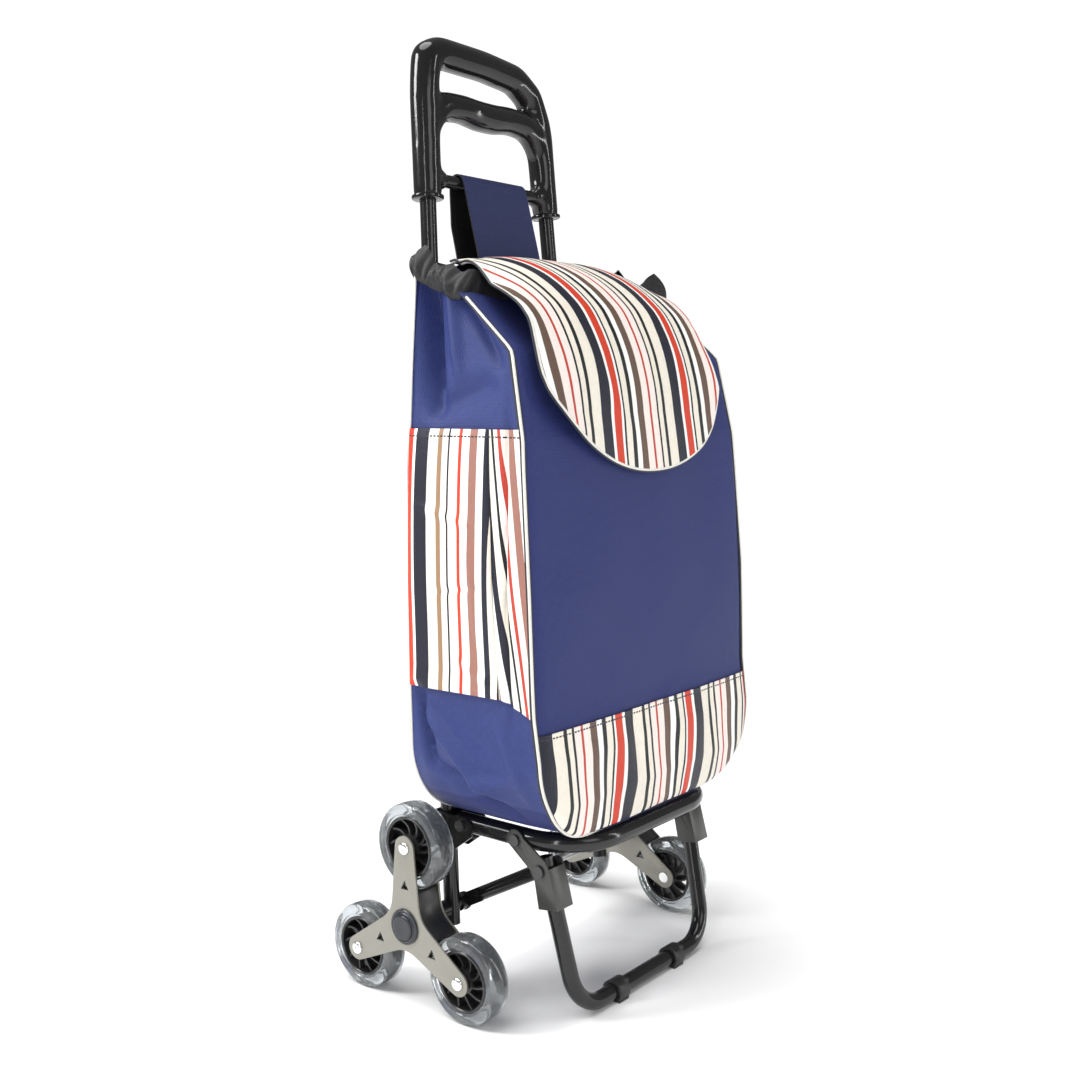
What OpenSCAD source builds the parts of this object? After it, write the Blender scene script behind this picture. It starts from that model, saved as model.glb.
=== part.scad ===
// Folding stair-climbing shopping trolley with a soft bag.
// Millimetres. +Z up, the front of the trolley faces -Y, X = 0 is the symmetry plane.
// The floor is Z = 0 and the origin is below the centre of the trolley's bounding box.

/* [Wheels] */
// Distance from the main axle to each wheel's pin
star_arm = 76; // [68:1:86]
// Outer diameter of a tyre
tyre_d = 83; // [70:1:90]
// Width of a tyre
tyre_w = 23; // [16:1:25]
// Diameter of the wheel hub inside its tyre
hub_d = 58; // [48:1:62]
// Spokes in a wheel hub
spokes = 10; // [5:1:12]
// Distance between the mid-planes of the two wheel clusters
track = 344; // [336:1:380]
// Gap between the two plates of a cluster
plate_gap = 28; // [26:1:32]
// Thickness of a cluster plate
plate_t = 2; // [1.5:0.1:3]
// Diameter of a wheel pin
pin_d = 8; // [6:0.5:10]
// Diameter of the main axle
axle_d = 10; // [8:0.5:12]

/* [Uprights] */
// Outer diameter of the uprights
upright_d = 16; // [14:0.5:18]
// Distance between the uprights at the axle
upright_spread = 245; // [235:1:255]
// Backward lean of the uprights, in degrees
upright_lean = 4; // [2:0.5:6]
// Inward slant of each upright, in degrees
upright_taper = 2.5; // [1:0.1:3]
// Wall of every steel tube
tube_wall = 1.2; // [1:0.1:1.6]
// Length of an upright below the axle
upright_foot = 14; // [12:1:20]

/* [Handle] */
// Height of the sleeves' lower ends, along the uprights from the axle
sleeve_start = 691; // [640:1:760]
// Length of the handle from the sleeves' lower ends to its top
handle_h = 160; // [150:1:190]
// Outer diameter of a handle sleeve
sleeve_d = 29; // [26:1:34]
// Thickness of the two grip bars
grip_d = 32; // [28:1:36]
// Height of the finger slot between the grip bars
slot_h = 18; // [15:1:30]
// Height of the strap bar above the sleeves' lower ends
strap_bar_h = 21; // [15:1:30]
// Diameter of the strap bar
strap_bar_d = 13; // [10:0.5:16]

/* [Platform] */
// Outer diameter of the platform tube
rail_d = 19; // [16:0.5:20]
// Height of the platform rails' centre
rail_z = 167; // [160:1:172]
// Reach of the platform's front rail in front of the axle
rail_front = 153; // [146:1:165]
// Bend radius of the platform's front corners
rail_bend = 57; // [45:1:70]
// Distance of the platform's pivot in front of the axle
pivot_f = 20; // [19:0.5:24]

/* [Stand] */
// Outer diameter of the stand tube
leg_d = 16; // [14:0.5:18]
// Distance of the stand's pivot in front of the axle
ear_f = 88; // [80:1:92]
// Distance of the strut's front joint in front of the axle
knee_f = 117; // [112:1:122]
// Height of the strut's front joint
knee_z = 143; // [138:1:146]
// Distance of the stand's foot bar in front of the axle
foot_f = 146; // [140:1:150]
// Outward slant of a stand leg going up, in degrees
leg_taper = 4; // [2:0.5:5]
// Bend radius of the stand tube
leg_bend = 37; // [30:1:45]
// Thickness of the floor pad below the stand's foot bar
pad_t = 1.4; // [1:0.1:3]
// Distance between the foot clips
clip_spread = 97; // [70:1:120]
// Diameter of a strut
strut_d = 14; // [10:0.5:14]
// Distance between the struts' centre lines
strut_spread = 197; // [185:1:200]
// Thickness of the stamped brackets
bracket_t = 2; // [1.5:0.1:2.5]

/* [Bag] */
// Half of the bag's width at its widest
bag_half_w = 179; // [170:1:182]
// Height of the bag's bottom
bag_z = 178; // [177.8:0.1:180]
// Radius of the bag's bottom corners
bag_corner = 68; // [64:1:80]
// Distance of the bag's back in front of the axle
bag_back_f = 5; // [4.5:0.5:8]
// Thickness of the bag's fabric with its padding
cloth_t = 3; // [2:0.5:4]
// Diameter of the piping
piping_d = 4; // [3:0.5:5]
// Height of the striped band's top edge
band_top = 285; // [250:1:320]
// Heights of the side pockets' lower and upper edges
pocket_low = 312; // [300:1:340]
pocket_high = 549; // [500:1:580]
// Depth of the side pockets, front to back
pocket_depth = 124.5; // [100:1:130]
// Width of the hanging strap
strap_w = 100; // [80:1:120]

/* [Hidden] */
$fn = 48;

run_clear = 0.05;        // radial clearance of every running fit
gap = 0.4;               // side clearance between pieces that swing past each other
star_z = tyre_d / 2 + star_arm / 2;   // axle height with two wheels of each cluster on the floor
star_reach = star_arm * sin(60) + tyre_d / 2;
front_reach = rail_front + rail_d / 2 + 2;
axle_y = (front_reach - star_reach) / 2;

plate_in = plate_gap / 2;             // cluster plates, from the cluster's mid-plane
plate_out = plate_in + plate_t;
star_inner = track / 2 - plate_out;
star_outer = track / 2 + plate_out;
tip_r = 12;              // half-width of a star arm at its tip
waist = 24;              // distance from the axle to the plate's concave edge
waist_r = 30;            // radius of that edge
cap_r = 17;
rim_t = 3;               // hub rim thickness
boss_r = 8.5;
clip_t = 1.2;

rail_x = upright_spread / 2 - (rail_z - star_z) * tan(upright_taper);
cheek_in = max(rail_d, upright_d) / 2 + 0.6;   // gusset cheeks' inner faces, from the rail's plane
leg_lean = atan((foot_f - knee_f) / (knee_z - foot_z()));
leg_top_x = rail_x + 1;
ear_x = rail_x + rail_d / 2 + gap;             // stand bracket's outer ear
strut_tab_t = 3;
strut_tab_x = strut_spread / 2 + strut_d / 2 - strut_tab_t + 0.5;
rivet_r = 3;
head_r = 5.5;
head_t = 2.4;

tube_end_s = sleeve_start + 96;       // top of the uprights, hidden in the sleeves
handle_top_s = sleeve_start + handle_h;
top_bar_s = handle_top_s - grip_d / 2;
low_bar_s = top_bar_s - grip_d - slot_h;
strap_bar_s = sleeve_start + strap_bar_h;
corner_r = 45;

front_profile = [     // bag's front, [distance in front of the axle, height]
    [148, bag_z], [158, bag_z + 14], [157, 257], [150, 300], [148, 404], [138, 540], [118, 617], [59, 671]
];
side_profile = [      // bag's half-width at each height above its bottom corners
    [bag_half_w - 3, bag_z + bag_corner], [bag_half_w, 404], [bag_half_w - 10, 617],
    [bag_half_w - 17, 671], [bag_half_w - 19, 690]
];
flap_profile = [      // flap's outer face, [distance in front of the axle, height]
    [4, 709], [40, 706], [80, 690], [115, 659], [136, 618], [147, 570], [148, 505]
];
flap_half_w = 143;
flap_hinge = [4, 705];

function foot_z() = leg_d / 2 + pad_t;
function upright_x(s) = upright_spread / 2 - s * tan(upright_taper);
function arc(cx, cy, r, a0, a1, n = 12) =
    [for (i = [0:n]) let (a = a0 + (a1 - a0) * i / n) [cx + r * cos(a), cy + r * sin(a)]];
function flip(points) = [for (i = [len(points) - 1:-1:0]) points[i]];

// Everything below is drawn with the axle at Y = 0 and "f" as the distance in front of it.
module place() { translate([0, axle_y, 0]) children(); }
module both_sides() { children(); mirror([1, 0, 0]) children(); }
module side(s) { if (s > 0) children(); else mirror([1, 0, 0]) children(); }
module at_fz(f, z, x = 0) { translate([x, -f, z]) children(); }
// Cylinder along X from x0 to x1
module rod_x(x0, x1, r) { translate([x0, 0, 0]) rotate([0, 90, 0]) cylinder(r = r, h = x1 - x0); }
// Extrudes a drawing of [f, z] points along X
module slab_x(x0, x1) { translate([x1, 0, 0]) rotate([90, 0, -90]) linear_extrude(x1 - x0) children(); }
// Extrudes a drawing of [x, z] points along Y, from f0 to f1
module slab_y(f0, f1) { translate([0, -f0, 0]) rotate([90, 0, 0]) linear_extrude(f1 - f0) children(); }
// The plane of the uprights: X across, Z along them from the axle
module upright_plane() { translate([0, 0, star_z]) rotate([-upright_lean, 0, 0]) children(); }
module upright_line() {
    upright_plane() translate([upright_spread / 2, 0, 0]) rotate([0, -upright_taper, 0]) children();
}
module rivet(x0, x1) {
    rod_x(x0, x1, rivet_r);
    rod_x(x1, x1 + head_t, head_r);
    rod_x(x0 - head_t, x0, head_r);
}

// ---- uprights, handle and axle ----
module upright() color("#17171a") difference() {
    upright_line() difference() {
        translate([0, 0, -upright_foot]) cylinder(d = upright_d, h = tube_end_s + upright_foot);
        translate([0, 0, -upright_foot - 1]) cylinder(d = upright_d - 2 * tube_wall, h = tube_end_s + upright_foot + 2);
    }
    translate([0, 0, star_z]) rod_x(0, upright_spread, axle_d / 2 + run_clear);
    gusset_rivet_holes();
}
module upright_plug_pair() color("#101012") both_sides() upright_line()
    translate([0, 0, -upright_foot - 3]) {
        cylinder(d = upright_d, h = 3);
        cylinder(d = upright_d - 2 * tube_wall - 2 * run_clear, h = 3 + 5);
    }
module sleeve_core(extra = 0)
    translate([upright_x(sleeve_start / cos(upright_taper)), 0, sleeve_start]) rotate([0, -upright_taper, 0])
        translate([0, 0, -extra]) children();
module handle_grip() color("#151517") upright_plane() difference() {
    top_x = upright_x(handle_top_s - corner_r);
    bar_half = top_x + sleeve_d / 2 - corner_r + 0.4;
    union() {
        both_sides() {
            sleeve_core() cylinder(d = sleeve_d, h = handle_h - corner_r + 5);
            sleeve_core() cylinder(d = sleeve_d + 3, h = 4);
            translate([bar_half, 0, handle_top_s - corner_r]) rotate([90, 0, 0])
                rotate_extrude(angle = 90) translate([corner_r - grip_d / 2, 0]) circle(d = grip_d);
        }
        translate([-bar_half - 1, 0, top_bar_s]) rod_x(0, 2 * bar_half + 2, grip_d / 2 - 0.1);
        translate([-top_x, 0, low_bar_s]) rod_x(0, 2 * top_x, grip_d / 2);
        translate([-upright_x(strap_bar_s), 0, strap_bar_s]) rod_x(0, 2 * upright_x(strap_bar_s), strap_bar_d / 2 + 3.5);
    }
    both_sides() sleeve_core(1)
        cylinder(d = upright_d + 2 * run_clear, h = tube_end_s - sleeve_start + 2);
    translate([-strap_bar_half(), 0, strap_bar_s]) rod_x(0, 2 * strap_bar_half(), strap_bar_d / 2 + run_clear);
    translate([-socket_face(), 0, strap_bar_s]) rod_x(0, 2 * socket_face(), sleeve_d / 2);
}
function strap_bar_half() = upright_x(strap_bar_s) - upright_d / 2 - 1.5;
function socket_face() = strap_bar_half() - 12;
module strap_bar() color("#151517") upright_plane()
    translate([-strap_bar_half() + gap, 0, strap_bar_s]) rod_x(0, 2 * strap_bar_half() - 2 * gap, strap_bar_d / 2);
axle_half = star_outer + 2.5;
module axle_rod() color("#9a9ca0") translate([0, 0, star_z]) rod_x(-axle_half, axle_half, axle_d / 2);
module axle_spacers() color("#1a1a1c") both_sides() translate([0, 0, star_z]) {
    tube_x(upright_spread / 2 + upright_d / 2 + 1.2, star_inner - gap, axle_d / 2 + 3.5);
    tube_x(strut_tab_x + strut_tab_t + gap, upright_spread / 2 - upright_d / 2 - 1.2, axle_d / 2 + 3);
}
module tube_x(x0, x1, r) difference() {
    rod_x(x0, x1, r);
    rod_x(x0 - 1, x1 + 1, axle_d / 2 + run_clear);
}
module axle_clips() color("#b8babd") both_sides() translate([0, 0, star_z])
    tube_x(star_outer + gap, star_outer + gap + clip_t, axle_d / 2 + 3);

// ---- gusset brackets that carry the platform's pivots ----
gusset_low = rail_z - 27;
gusset_high = rail_z + 8;
back_f = -(upright_d / 2 + (gusset_high - star_z) * tan(upright_lean)) - 1;
rivet_low_s = gusset_low + 7;
rivet_high_s = gusset_high - 6;
function upright_f(z) = -(z - star_z) * tan(upright_lean);
module gusset_rivet_holes() for (z = [rivet_low_s, rivet_high_s])
    at_fz(upright_f(z), z) rod_x(rail_x - 30, rail_x + 30, rivet_r + run_clear);
module gusset() color("#1b1b1d") difference() {
    slab_x(rail_x - cheek_in - bracket_t, rail_x + cheek_in + bracket_t) polygon([
        [back_f - bracket_t, gusset_low], [10, gusset_low], [pivot_f + 14, rail_z - 9],
        [pivot_f + 14, rail_z + 4], [pivot_f + 8, gusset_high], [back_f - bracket_t, gusset_high]
    ]);
    slab_x(rail_x - cheek_in, rail_x + cheek_in)
        translate([back_f, gusset_low - 1]) square([200, gusset_high - gusset_low + 2]);
    at_fz(pivot_f, rail_z) rod_x(rail_x - 30, rail_x + 30, rivet_r + run_clear);
    gusset_rivet_holes();
}
gusset_out = cheek_in + bracket_t;
module frame_rivets() color("#2a2a2d") both_sides() for (z = [rivet_low_s, rivet_high_s])
    at_fz(upright_f(z), z) rivet(rail_x - gusset_out, rail_x + gusset_out);
module platform_pins() color("#2a2a2d") both_sides() at_fz(pivot_f, rail_z)
    rivet(rail_x - gusset_out, rail_x + gusset_out);

// ---- platform ----
// U-shaped bent tube: two open legs up from a cross piece, in its own XY plane. The bends bulge slightly.
module tube_u(half_w, leg, bend, d, taper = 0) {
    start = half_w - bend;
    translate([-start - 1, 0, 0]) rod_x(0, 2 * start + 2, d / 2);
    both_sides() translate([start, bend, 0]) {
        rotate([0, 0, -90]) rotate_extrude(angle = 90 - taper) translate([bend, 0]) circle(r = d / 2 + bend_bulge);
        rotate([0, 0, -taper]) translate([bend, -1, 0]) rotate([-90, 0, 0]) difference() {
            cylinder(d = d, h = leg + 1);
            translate([0, 0, 3]) cylinder(d = d - 2 * tube_wall, h = leg);
        }
    }
}
bend_bulge = 0.15;
rail_leg = rail_front - rail_bend - pivot_f + 10;
module platform_loop() color("#161618") difference() {
    at_fz(rail_front, rail_z) tube_u(rail_x, rail_leg, rail_bend, rail_d);
    both_sides() {
        at_fz(pivot_f, rail_z) rod_x(rail_x - 30, rail_x + 30, rivet_r + run_clear);
        at_fz(ear_f, rail_z) rod_x(rail_x, rail_x + 30, rivet_r + run_clear);
    }
}

// ---- stand ----
knee_s = (knee_z - foot_z()) / cos(leg_lean);
leg_half = leg_top_x - (knee_s - leg_bend) * tan(leg_taper) + leg_bend * (1 - cos(leg_taper));
leg_len = (knee_s - leg_bend) / cos(leg_taper) + leg_bend * sin(leg_taper) + 11;
cheek_x = leg_top_x - leg_d / 2 - gap - 2.4;       // outer face of the bracket's inner cheek
module stand_plane() at_fz(foot_f, foot_z()) rotate([90 - leg_lean, 0, 0]) children();
module stand_tube() color("#161618") difference() {
    stand_plane() tube_u(leg_half, leg_len, leg_bend, leg_d, leg_taper);
    both_sides() at_fz(knee_f, knee_z) rod_x(cheek_x - 20, rail_x + 40, rivet_r + run_clear);
}
module bracket_outline() polygon(concat(
    arc(ear_f, rail_z, 10, 200, 20, 10),
    [[knee_f + 7, rail_z - 14], [knee_f + 10, knee_z + 4], [knee_f + 20, knee_z - 33], [knee_f - 1, knee_z - 36]],
    arc(knee_f + 1, knee_z + 1, 12, 235, 190, 4)
));
module cheek_outline() polygon([
    [knee_f - 10, knee_z + 8], [knee_f + 9, knee_z + 9], [knee_f + 20, knee_z - 33], [knee_f - 1, knee_z - 36]
]);
module stand_bracket() color("#8b8a84") difference() {
    union() {
        slab_x(ear_x, ear_x + bracket_t) bracket_outline();
        slab_x(cheek_x - bracket_t, cheek_x) cheek_outline();
        slab_x(cheek_x - bracket_t, ear_x + bracket_t) polygon([
            [knee_f + 9 + bracket_t, knee_z + 4], [knee_f + 9, knee_z + 4],
            [knee_f + 19, knee_z - 33], [knee_f + 19 + bracket_t, knee_z - 33]
        ]);
    }
    at_fz(ear_f, rail_z) rod_x(rail_x, rail_x + 40, rivet_r + run_clear);
    at_fz(knee_f, knee_z) rod_x(cheek_x - 20, rail_x + 40, rivet_r + run_clear);
}
module stand_rivets() color("#6d6d6a") both_sides() {
    at_fz(ear_f, rail_z) {
        rod_x(rail_x + 3, ear_x + bracket_t, rivet_r);
        rod_x(ear_x + bracket_t, ear_x + bracket_t + head_t, head_r);
    }
    at_fz(knee_f, knee_z) {
        rod_x(cheek_x - bracket_t, ear_x + bracket_t, rivet_r);
        rod_x(ear_x + bracket_t, ear_x + bracket_t + head_t, head_r);
    }
}
clip_w = 16;
module foot_clip() color("#131315") translate([clip_spread / 2, 0, 0]) at_fz(foot_f, foot_z()) difference() {
    union() {
        rod_x(-clip_w / 2, clip_w / 2, leg_d / 2 + 3);
        translate([-clip_w / 2, -9, -foot_z()]) cube([clip_w, 18, foot_z()]);
        rotate([50, 0, 0]) translate([-3, 0, leg_d / 2]) cube([6, 4, 9]);
    }
    rod_x(-clip_w, clip_w, leg_d / 2 + run_clear);
    translate([-clip_w, -30, -foot_z() - 20]) cube([2 * clip_w, 60, 20]);
}

// ---- struts from the axle to the stand ----
strut_len = norm([knee_f, knee_z - star_z]);
strut_angle = atan2(knee_z - star_z, knee_f);
tab_len = 20;
module strut() color("#202023") translate([0, 0, star_z]) rotate([-strut_angle, 0, 0]) difference() {
    union() {
        translate([strut_spread / 2, -tab_len, 0]) rotate([90, 0, 0]) difference() {
            cylinder(d = strut_d, h = strut_len - 2 * tab_len);
            translate([0, 0, 3]) cylinder(d = strut_d - 2 * tube_wall, h = strut_len - 2 * tab_len - 6);
        }
        rod_x(strut_tab_x, strut_tab_x + strut_tab_t, 9);
        translate([0, -strut_len, 0]) rod_x(strut_tab_x, strut_tab_x + strut_tab_t, 8);
        translate([strut_tab_x, -tab_len - 4, -7]) cube([strut_tab_t, tab_len + 4, 14]);
        translate([strut_tab_x, -strut_len, -7]) cube([strut_tab_t, tab_len + 4, 14]);
        translate([0, -strut_len, 0]) rod_x(strut_tab_x - head_t, strut_tab_x, head_r);
    }
    rod_x(0, 200, axle_d / 2 + run_clear);
}

// ---- wheel clusters ----
module at_arm(k) translate([0, 0, star_z]) rotate([k * 120, 0, 0]) translate([0, 0, star_arm]) children();
// Tri-star outline with round tips and hollow sides, its first arm along +Y of the drawing
function star_points(grow = 0) = let (
    centre = waist + waist_r, fx = centre * sin(60), fy = centre * cos(60),
    dx = fx, dy = fy - star_arm, dist = norm([dx, dy]),
    nu = atan2(dy, dx) + acos((tip_r + waist_r) / dist)
) [for (k = [0:2]) for (p = concat(
        arc(0, star_arm, tip_r + grow, 180 - nu, nu, 12),
        arc(fx, fy, waist_r - grow, nu + 180, 240 - nu, 10)))
    [p[0] * cos(-120 * k) - p[1] * sin(-120 * k), p[0] * sin(-120 * k) + p[1] * cos(-120 * k)]];
// Extrudes a drawing of the cluster along X, the drawing's X pointing backwards
module star_slab(x0, x1) translate([x0, 0, star_z]) rotate([90, 0, 90]) linear_extrude(x1 - x0) children();
module star_plates() color("#b5b1a6") difference() {
    for (x = [star_inner, star_outer - plate_t]) star_slab(x, x + plate_t) difference() {
        polygon(star_points());
        for (k = [0:2]) rotate(120 * k) translate([0, star_arm / 2 + 1]) rotate(90) circle(r = 6, $fn = 3);
    }
    translate([0, 0, star_z]) rod_x(0, 300, axle_d / 2 + 1);
    for (k = [0:2]) at_arm(k) rod_x(0, 300, pin_d / 2 + run_clear);
}
module star_core() color("#131315") difference() {
    star_slab(star_inner + plate_t, star_outer - plate_t) polygon(star_points(-0.8));
    for (k = [0:2]) at_arm(k) rod_x(0, 300, tyre_d / 2 + 2);
    translate([0, 0, star_z]) rod_x(0, 300, axle_d / 2 + run_clear);
}
module star_cap() color("#1b1d22") translate([0, 0, star_z]) difference() {
    union() {
        rod_x(star_outer, star_outer + 2, cap_r);
        rod_x(star_outer, star_outer + 3.4, cap_r - 3);
        rod_x(star_outer, star_outer + 5, cap_r - 4.5);
    }
    rod_x(star_outer - 1, star_outer + 3.6, axle_d / 2 + 4);
}
module star_pins() color("#c6c8ca") for (k = [0:2]) at_arm(k) {
    rod_x(star_inner - 2, star_outer + 1, pin_d / 2);
    rod_x(star_outer, star_outer + 2.4, 6.2);
    rod_x(star_inner - 3, star_inner, 6.2);
}
module tyre(k) color("#8f979b") at_arm(k) translate([track / 2, 0, 0]) rotate([0, 90, 0]) rotate_extrude($fn = 96)
    polygon(concat(
        [[hub_d / 2 + run_clear, -tyre_w / 2 + 1.5], [hub_d / 2 + 3, -tyre_w / 2]],
        arc(tyre_d / 2 - 6, -tyre_w / 2 + 6, 6, -90, 0, 5), arc(tyre_d / 2 - 6, tyre_w / 2 - 6, 6, 0, 90, 5),
        [[hub_d / 2 + 3, tyre_w / 2], [hub_d / 2 + run_clear, tyre_w / 2 - 1.5]]
    ));
module hub(k) color("#121214") at_arm(k) translate([track / 2, 0, 0]) rotate([0, 90, 0]) difference() {
    half = tyre_w / 2 - 1.5;
    union() {
        translate([0, 0, -half]) difference() {
            cylinder(d = hub_d, h = 2 * half, $fn = 96);
            translate([0, 0, -1]) cylinder(r = hub_d / 2 - rim_t, h = 2 * half + 2, $fn = 96);
        }
        translate([0, 0, -plate_in + 0.3]) cylinder(r = boss_r, h = 2 * plate_in - 0.6);
        for (a = [1:spokes]) rotate(a * 360 / spokes)
            translate([boss_r - 1, -1.2, -half + 2]) cube([hub_d / 2 - rim_t - boss_r + 2, 2.4, 2 * half - 4]);
    }
    translate([0, 0, -plate_gap]) cylinder(r = pin_d / 2 + run_clear, h = 2 * plate_gap);
}

// ---- bag ----
// The bag's front outline in [x, z], grown or shrunk all round by g
module bag_outline(g = 0) {
    cx = bag_half_w - 3 - bag_corner;
    points = [for (p = side_profile) [p[0] + g, p[1]]];
    polygon(concat(points, [for (p = flip(points)) [-p[0], p[1]]]));
    for (x = [-cx, cx]) translate([x, bag_z + bag_corner]) circle(r = bag_corner + g, $fn = 96);
    translate([-cx, bag_z - g]) square([2 * cx, bag_corner + g + 1]);
}
module bag_ring(outer, inner) difference() { bag_outline(outer); bag_outline(inner); open_top(); }
module open_top() translate([-150, 640]) square([300, 100]);
// Strip between two copies of the front profile, moved forward by f0 and f1
function front_strip(f0, f1) = concat(
    [for (p = front_profile) [p[0] + f1, p[1]]], [for (p = flip(front_profile)) [p[0] + f0, p[1]]]);
module front_slab(f0, f1) slab_x(-bag_half_w - 10, bag_half_w + 10) polygon(front_strip(f0, f1));
module inside_box() slab_x(-bag_half_w - 10, bag_half_w + 10) polygon(concat(
    [for (p = front_profile) [p[0] - cloth_t, p[1]]], [[bag_back_f + cloth_t, 690], [bag_back_f + cloth_t, bag_z]]));
module bag_front_panel() color("#2c3f86") intersection() {
    front_slab(-cloth_t, 0);
    slab_y(0, 200) bag_outline();
}
module bag_back_panel() color("#2c3f86") slab_y(bag_back_f, bag_back_f + cloth_t) bag_outline();
module bag_gusset() intersection() {
    inside_box();
    slab_y(0, 200) bag_ring(0, -cloth_t);
}
module bag_side() color("#3a51a5") intersection() {
    bag_gusset();
    translate([bag_half_w - bag_corner - 3, -300, 0]) cube([bag_corner + 20, 400, 800]);
}
module bag_bottom() color("#2c3f86") intersection() {
    bag_gusset();
    translate([-(bag_half_w - bag_corner - 3), -300, 0]) cube([2 * (bag_half_w - bag_corner - 3), 400, 300]);
}
board_t = 3;
module base_board() color("#6f6a60") translate([-bag_half_w + bag_corner + 6, -138, bag_z + cloth_t + 0.5])
    cube([2 * (bag_half_w - bag_corner - 6), 124, board_t]);
module bag_collar() color("#18181b") {
    half = bag_half_w - 24;
    difference() {
        translate([-half, -55, 660]) cube([2 * half, 44, 36]);
        translate([-half + cloth_t, -55 + cloth_t, 650]) cube([2 * half - 2 * cloth_t, 44 - 2 * cloth_t, 100]);
    }
}
module pocket() color("#d9cfc3") intersection() {
    slab_y(bag_back_f + 3, bag_back_f + 3 + pocket_depth) difference() { bag_outline(3.5); bag_outline(0.5); }
    translate([100, -300, pocket_low]) cube([200, 400, pocket_high - pocket_low]);
}
module front_band() color("#d9cfc3") intersection() {
    front_slab(0.5, 2.5);
    slab_y(0, 200) bag_outline(-piping_d / 2 - 0.5);
    translate([-300, -300, 0]) cube([600, 400, band_top]);
}
module piping_front() color("#e8e4da") intersection() {
    front_slab(-piping_d + 1, 1);
    slab_y(0, 200) bag_ring(piping_d - 1, 0.2);
}
module piping_back() color("#e8e4da")
    slab_y(bag_back_f - piping_d / 2 + 0.5, bag_back_f + piping_d / 2 + 0.5) bag_ring(piping_d - 1, 0.2);

// ---- hanging strap over the strap bar ----
strap_t = 2;
function bar_at() = let (s = strap_bar_s) [-s * sin(upright_lean), star_z + s * cos(upright_lean)];
module strap_loop() color("#26346f") {
    b = bar_at();
    r0 = strap_bar_d / 2 + 0.4;
    r1 = r0 + strap_t;
    f = bag_back_f - 0.4;
    z = 585;
    slack = 55;
    difference() {
        at_fz(b[0], b[1]) rod_x(-strap_w / 2, strap_w / 2, r1);
        at_fz(b[0], b[1]) rod_x(-strap_w, strap_w, r0);
        translate([-strap_w, -b[0] - 50, b[1] - 100]) cube([2 * strap_w, 100, 100]);
    }
    slab_x(-strap_w / 2, strap_w / 2) {
        polygon([[b[0] + r0, b[1]], [b[0] + r1, b[1]], [f, z + 27], [f - strap_t, z + 27]]);
        polygon([[b[0] - r1, b[1]], [b[0] - r0, b[1]], [b[0] - r0, b[1] - slack], [b[0] - r1, b[1] - slack]]);
        polygon([[b[0] - r1, b[1] - slack], [b[0] - r0, b[1] - slack], [f - strap_t, z + 29], [f - 2 * strap_t, z + 27]]);
        polygon([[f - 2 * strap_t, z + 27], [f - strap_t, z + 29], [f, z + 27], [f, z], [f - 2 * strap_t, z]]);
    }
}

// ---- flap ----
module flap_outline(g = 0) {
    r = 100;
    low = 508;
    polygon([[-112 - g, 720], [-130 - g, 690], [-flap_half_w - g, 660], [-flap_half_w - g, low + r],
             [flap_half_w + g, low + r], [flap_half_w + g, 660], [130 + g, 690], [112 + g, 720]]);
    for (x = [-1, 1]) translate([x * (flap_half_w - r), low + r]) circle(r = r + g, $fn = 96);
    translate([-(flap_half_w - r), low - g]) square([2 * (flap_half_w - r), r + g]);
}
function flap_strip(f0, f1) = concat(
    [for (p = flap_profile) [p[0] + f1, p[1] + f1]], [for (p = flip(flap_profile)) [p[0] + f0, p[1] + f0]]);
flap_hem_d = 6;
module flap() color("#e4dfd6") {
    intersection() {
        slab_x(-200, 200) polygon(flap_strip(-1.5, 0));
        slab_y(0, 200) flap_outline(-0.2);
    }
    at_fz(flap_hinge[0], flap_hinge[1]) rod_x(-105, 105, flap_hem_d / 2); // rolled hem it turns on
}
module flap_piping() color("#efece4") intersection() {
    slab_x(-200, 200) polygon(flap_strip(-2, 1));
    slab_y(0, 200) difference() {
        flap_outline(3);
        flap_outline(0);
    }
}

place() side(-1) upright();  // upright_left
place() side(1) upright();  // upright_right
place() handle_grip();
place() strap_bar();
place() axle_rod();
place() axle_spacers();
place() axle_clips();
place() side(-1) gusset();  // gusset_left
place() side(1) gusset();  // gusset_right
place() frame_rivets();
place() upright_plug_pair();  // upright_plugs
place() platform_pins();
place() platform_loop();
place() stand_tube();
place() side(-1) stand_bracket();  // stand_bracket_left
place() side(1) stand_bracket();  // stand_bracket_right
place() stand_rivets();
place() side(-1) foot_clip();  // foot_clip_left
place() side(1) foot_clip();  // foot_clip_right
place() side(-1) strut();  // strut_left
place() side(1) strut();  // strut_right
place() side(-1) star_core();  // star_core_left
place() side(-1) star_plates();  // star_plates_left
place() side(-1) star_cap();  // star_cap_left
place() side(-1) star_pins();  // star_pins_left
place() side(1) star_core();  // star_core_right
place() side(1) star_plates();  // star_plates_right
place() side(1) star_cap();  // star_cap_right
place() side(1) star_pins();  // star_pins_right
place() side(-1) tyre(0);  // tyre_left_top
place() side(-1) hub(0);  // hub_left_top
place() side(-1) tyre(1);  // tyre_left_front
place() side(-1) hub(1);  // hub_left_front
place() side(-1) tyre(2);  // tyre_left_rear
place() side(-1) hub(2);  // hub_left_rear
place() side(1) tyre(0);  // tyre_right_top
place() side(1) hub(0);  // hub_right_top
place() side(1) tyre(1);  // tyre_right_front
place() side(1) hub(1);  // hub_right_front
place() side(1) tyre(2);  // tyre_right_rear
place() side(1) hub(2);  // hub_right_rear
place() bag_front_panel();
place() bag_back_panel();
place() side(-1) bag_side();  // bag_side_left
place() side(1) bag_side();  // bag_side_right
place() bag_bottom();
place() base_board();
place() bag_collar();
place() side(-1) pocket();  // pocket_left
place() side(1) pocket();  // pocket_right
place() front_band();
place() piping_front();
place() piping_back();
place() strap_loop();
place() flap();
place() flap_piping();
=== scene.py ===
import math

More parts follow.
